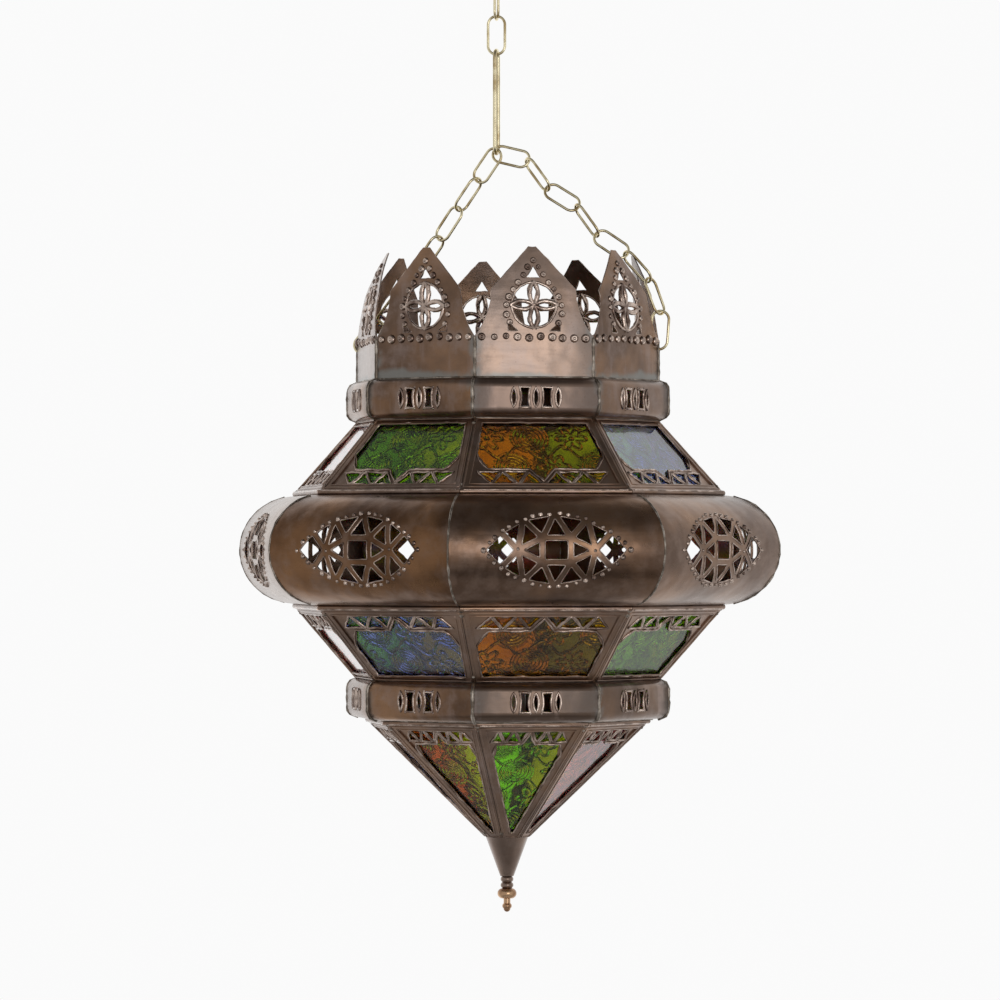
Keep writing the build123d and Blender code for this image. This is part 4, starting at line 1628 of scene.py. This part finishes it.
@dataclass
class Palette:
    """The lantern's finishes. A side light share is the share on each side, counted from the X axis, of a
    painted colour that stands in for that side's reflections and shade, partly the sheet's own tone.
    """

    plan: Octagon
    # Painted side light by side: larger shares stand in for the reflections and lamp light on some sides,
    # partly the sheets' own tone.
    crown_side_light: tuple[float, ...] = (0.25, 0.20, 0.15, 0.10, 0.80, 0.06, 0.47, 0.03)
    band_side_light: tuple[float, ...] = (0.20, 0.10, 0.30, 0.05, 0.0, 0.0, 0.90, 0.45)
    belly_side_light: tuple[float, ...] = (0.10, 0.10, 0.05, 0.10, 0.60, 0.0, 0.07, 0.12)
    raised: PatchedMetal = PatchedMetal(
        "rubbed_copper",
        (0.17, 0.11, 0.085),
        (0.74, 0.59, 0.50),
        ends=(0.36, 0.66),
        rough=(0.09, 0.22),
        marks=(650.0, 2.0, 0.5),
        depth=0.00018,
        coat=0.35,
    )
    edge: PatchedMetal = replace(
        raised, name="edge_copper", ground=(0.17, 0.11, 0.08), patch=(0.58, 0.45, 0.38)
    )
    solder: PatchedMetal = PatchedMetal(
        "tin_solder", (0.15, 0.12, 0.095), (0.48, 0.42, 0.36), clouds=(130.0, 4.0, 0.6), rough=(0.24, 0.30)
    )
    brass: PatchedMetal = PatchedMetal(
        "drawn_brass",
        (0.90, 0.80, 0.54),
        (0.50, 0.38, 0.20),
        clouds=(90.0, 2.0, 0.5),
        marks=(200.0, 1.0, 0.5),
        depth=0.00006,
    )
    turned_brass: PatchedMetal = replace(
        brass, name="turned_brass", ground=(0.66, 0.42, 0.25), patch=(0.30, 0.16, 0.09)
    )
    tin: PatchedMetal = PatchedMetal(
        "dull_tin",
        (0.46, 0.44, 0.40),
        (0.10, 0.09, 0.08),
        clouds=(60.0, 4.0, 0.6),
        ends=(0.45, 0.75),
        rough=(0.34, 0.25),
        marks=((900.0, 60.0, 60.0), 3.0, 0.6),
        depth=0.0001,
    )

    @property
    def axis(self) -> Point:
        """The lantern's axis in plan."""
        return self.plan.axis.x, self.plan.axis.y

    @property
    def framing(self) -> CopperSheet:
        """Copper of the frames round the panes."""
        return CopperSheet("frame_copper", self.axis, swell=0.0006, wave=0.0016, coat=0.22)

    def sheets(self) -> dict[str, CopperSheet]:
        """Mixes the copper finishes.

        Returns:
            The sheet of each kind of node, by the start of its name.
        """
        sheet = CopperSheet(
            "copper_sheet",
            self.axis,
            side_light_shares=self.crown_side_light,
            stain_heights=(self.plan.axis.z + Crown.foot,),
            corner_stain=0.9,
        )
        band = CopperSheet(
            "band_copper",
            self.axis,
            # Painted side light: a darker colour, painted shade on the sides with the larger shares.
            side_light_colour=(0.180, 0.122, 0.095),
            side_light_shares=self.band_side_light,
            corner_stain=0.5,
            swell=0.0058,
            wave=0.0034,
            coat=0.45,
        )
        worn = CopperSheet(
            "belly_copper",
            self.axis,
            dark=(0.100, 0.047, 0.022),
            warm=(0.265, 0.137, 0.066),
            mauve=(0.270, 0.180, 0.135),
            # Painted side light: a pale colour, painted reflection on the sides with the larger shares,
            # partly a greyer sheet.
            side_light_colour=(0.580, 0.520, 0.480),
            side_light_shares=self.belly_side_light,
            polish=0.17,
            coat=0.10,
            haze=0.15,
        )
        turned = CopperSheet(
            "turned_copper", self.axis, dark=(0.14, 0.08, 0.05), warm=(0.35, 0.22, 0.14), swell=0.0, coat=0.6
        )
        return {
            "crown": sheet,
            "upper_band": band,
            # The lower band's painted side light is darker still: painted shade on its sides with larger
            # shares.
            "lower_band": replace(band, name="lower_band_copper", side_light_colour=(0.115, 0.076, 0.056)),
            "belly": worn,
            "upper_frame": self.framing,
            "lower_frame": self.framing,
            "bottom_frame": self.framing,
            "tip_cone": turned,
            "finial_collar": turned,
        }

    def finish_nodes(self) -> None:
        """Gives every carried-over node but the panes its finish. What no name starts is brass chain."""
        finishes = {**self.sheets(), "finial": self.turned_brass, "candle": self.tin, "cup": self.tin}
        panes = {glass.node for glass in Glass}
        for name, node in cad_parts.items():
            if name in panes:
                continue
            start = max((key for key in finishes if name.startswith(key)), key=len, default="")
            finish = finishes.get(start, self.brass)
            if not node.material_slots:
                node.data.materials.append(None)
            for place in node.material_slots:
                place.material = finish.material()
            LOG.info("%s: node in %s", name, finish.name)


def main() -> None:
    """Builds the lantern's looks in order."""
    logging.basicConfig(level=logging.INFO, format="%(name)s: %(message)s")
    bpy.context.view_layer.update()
    plan = Octagon.from_frame()
    palette = Palette(plan)
    palette.finish_nodes()
    wires, beads = WireTree(), BeadTree()
    crown = Crown(plan)
    bands = [Band("upper_band", plan, low=0.0840), Band("lower_band", plan, low=-0.1093)]
    belly = Belly(plan)
    amber, green, blue, red = Glass
    tiers = [
        GlazedTier("upper", plan, (0.1326, 0.0353), (0.0918, 0.0839), (red, green, amber, blue) * 2),
        GlazedTier("lower", plan, (0.1326, -0.0353), (0.0930, -0.0837), (red, blue, amber, green) * 2),
        GlazedTier("bottom", plan, (0.0873, -0.1094), (0.0126, -0.1868), (blue, amber, green, red) * 2),
    ]
    crown.build(wires, beads, palette.raised)
    for band in bands:
        band.build(wires, beads, palette.raised)
    belly.build(wires, beads, palette.raised, palette.edge)
    for tier in tiers:
        tier.build(wires, palette.edge, palette.framing)
    Glazing(tiers).build()
    Seams(plan, crown, bands, belly, tiers).build(wires, beads, palette.solder)
    Studio(plan).build()


if __name__ == "__main__":
    main()
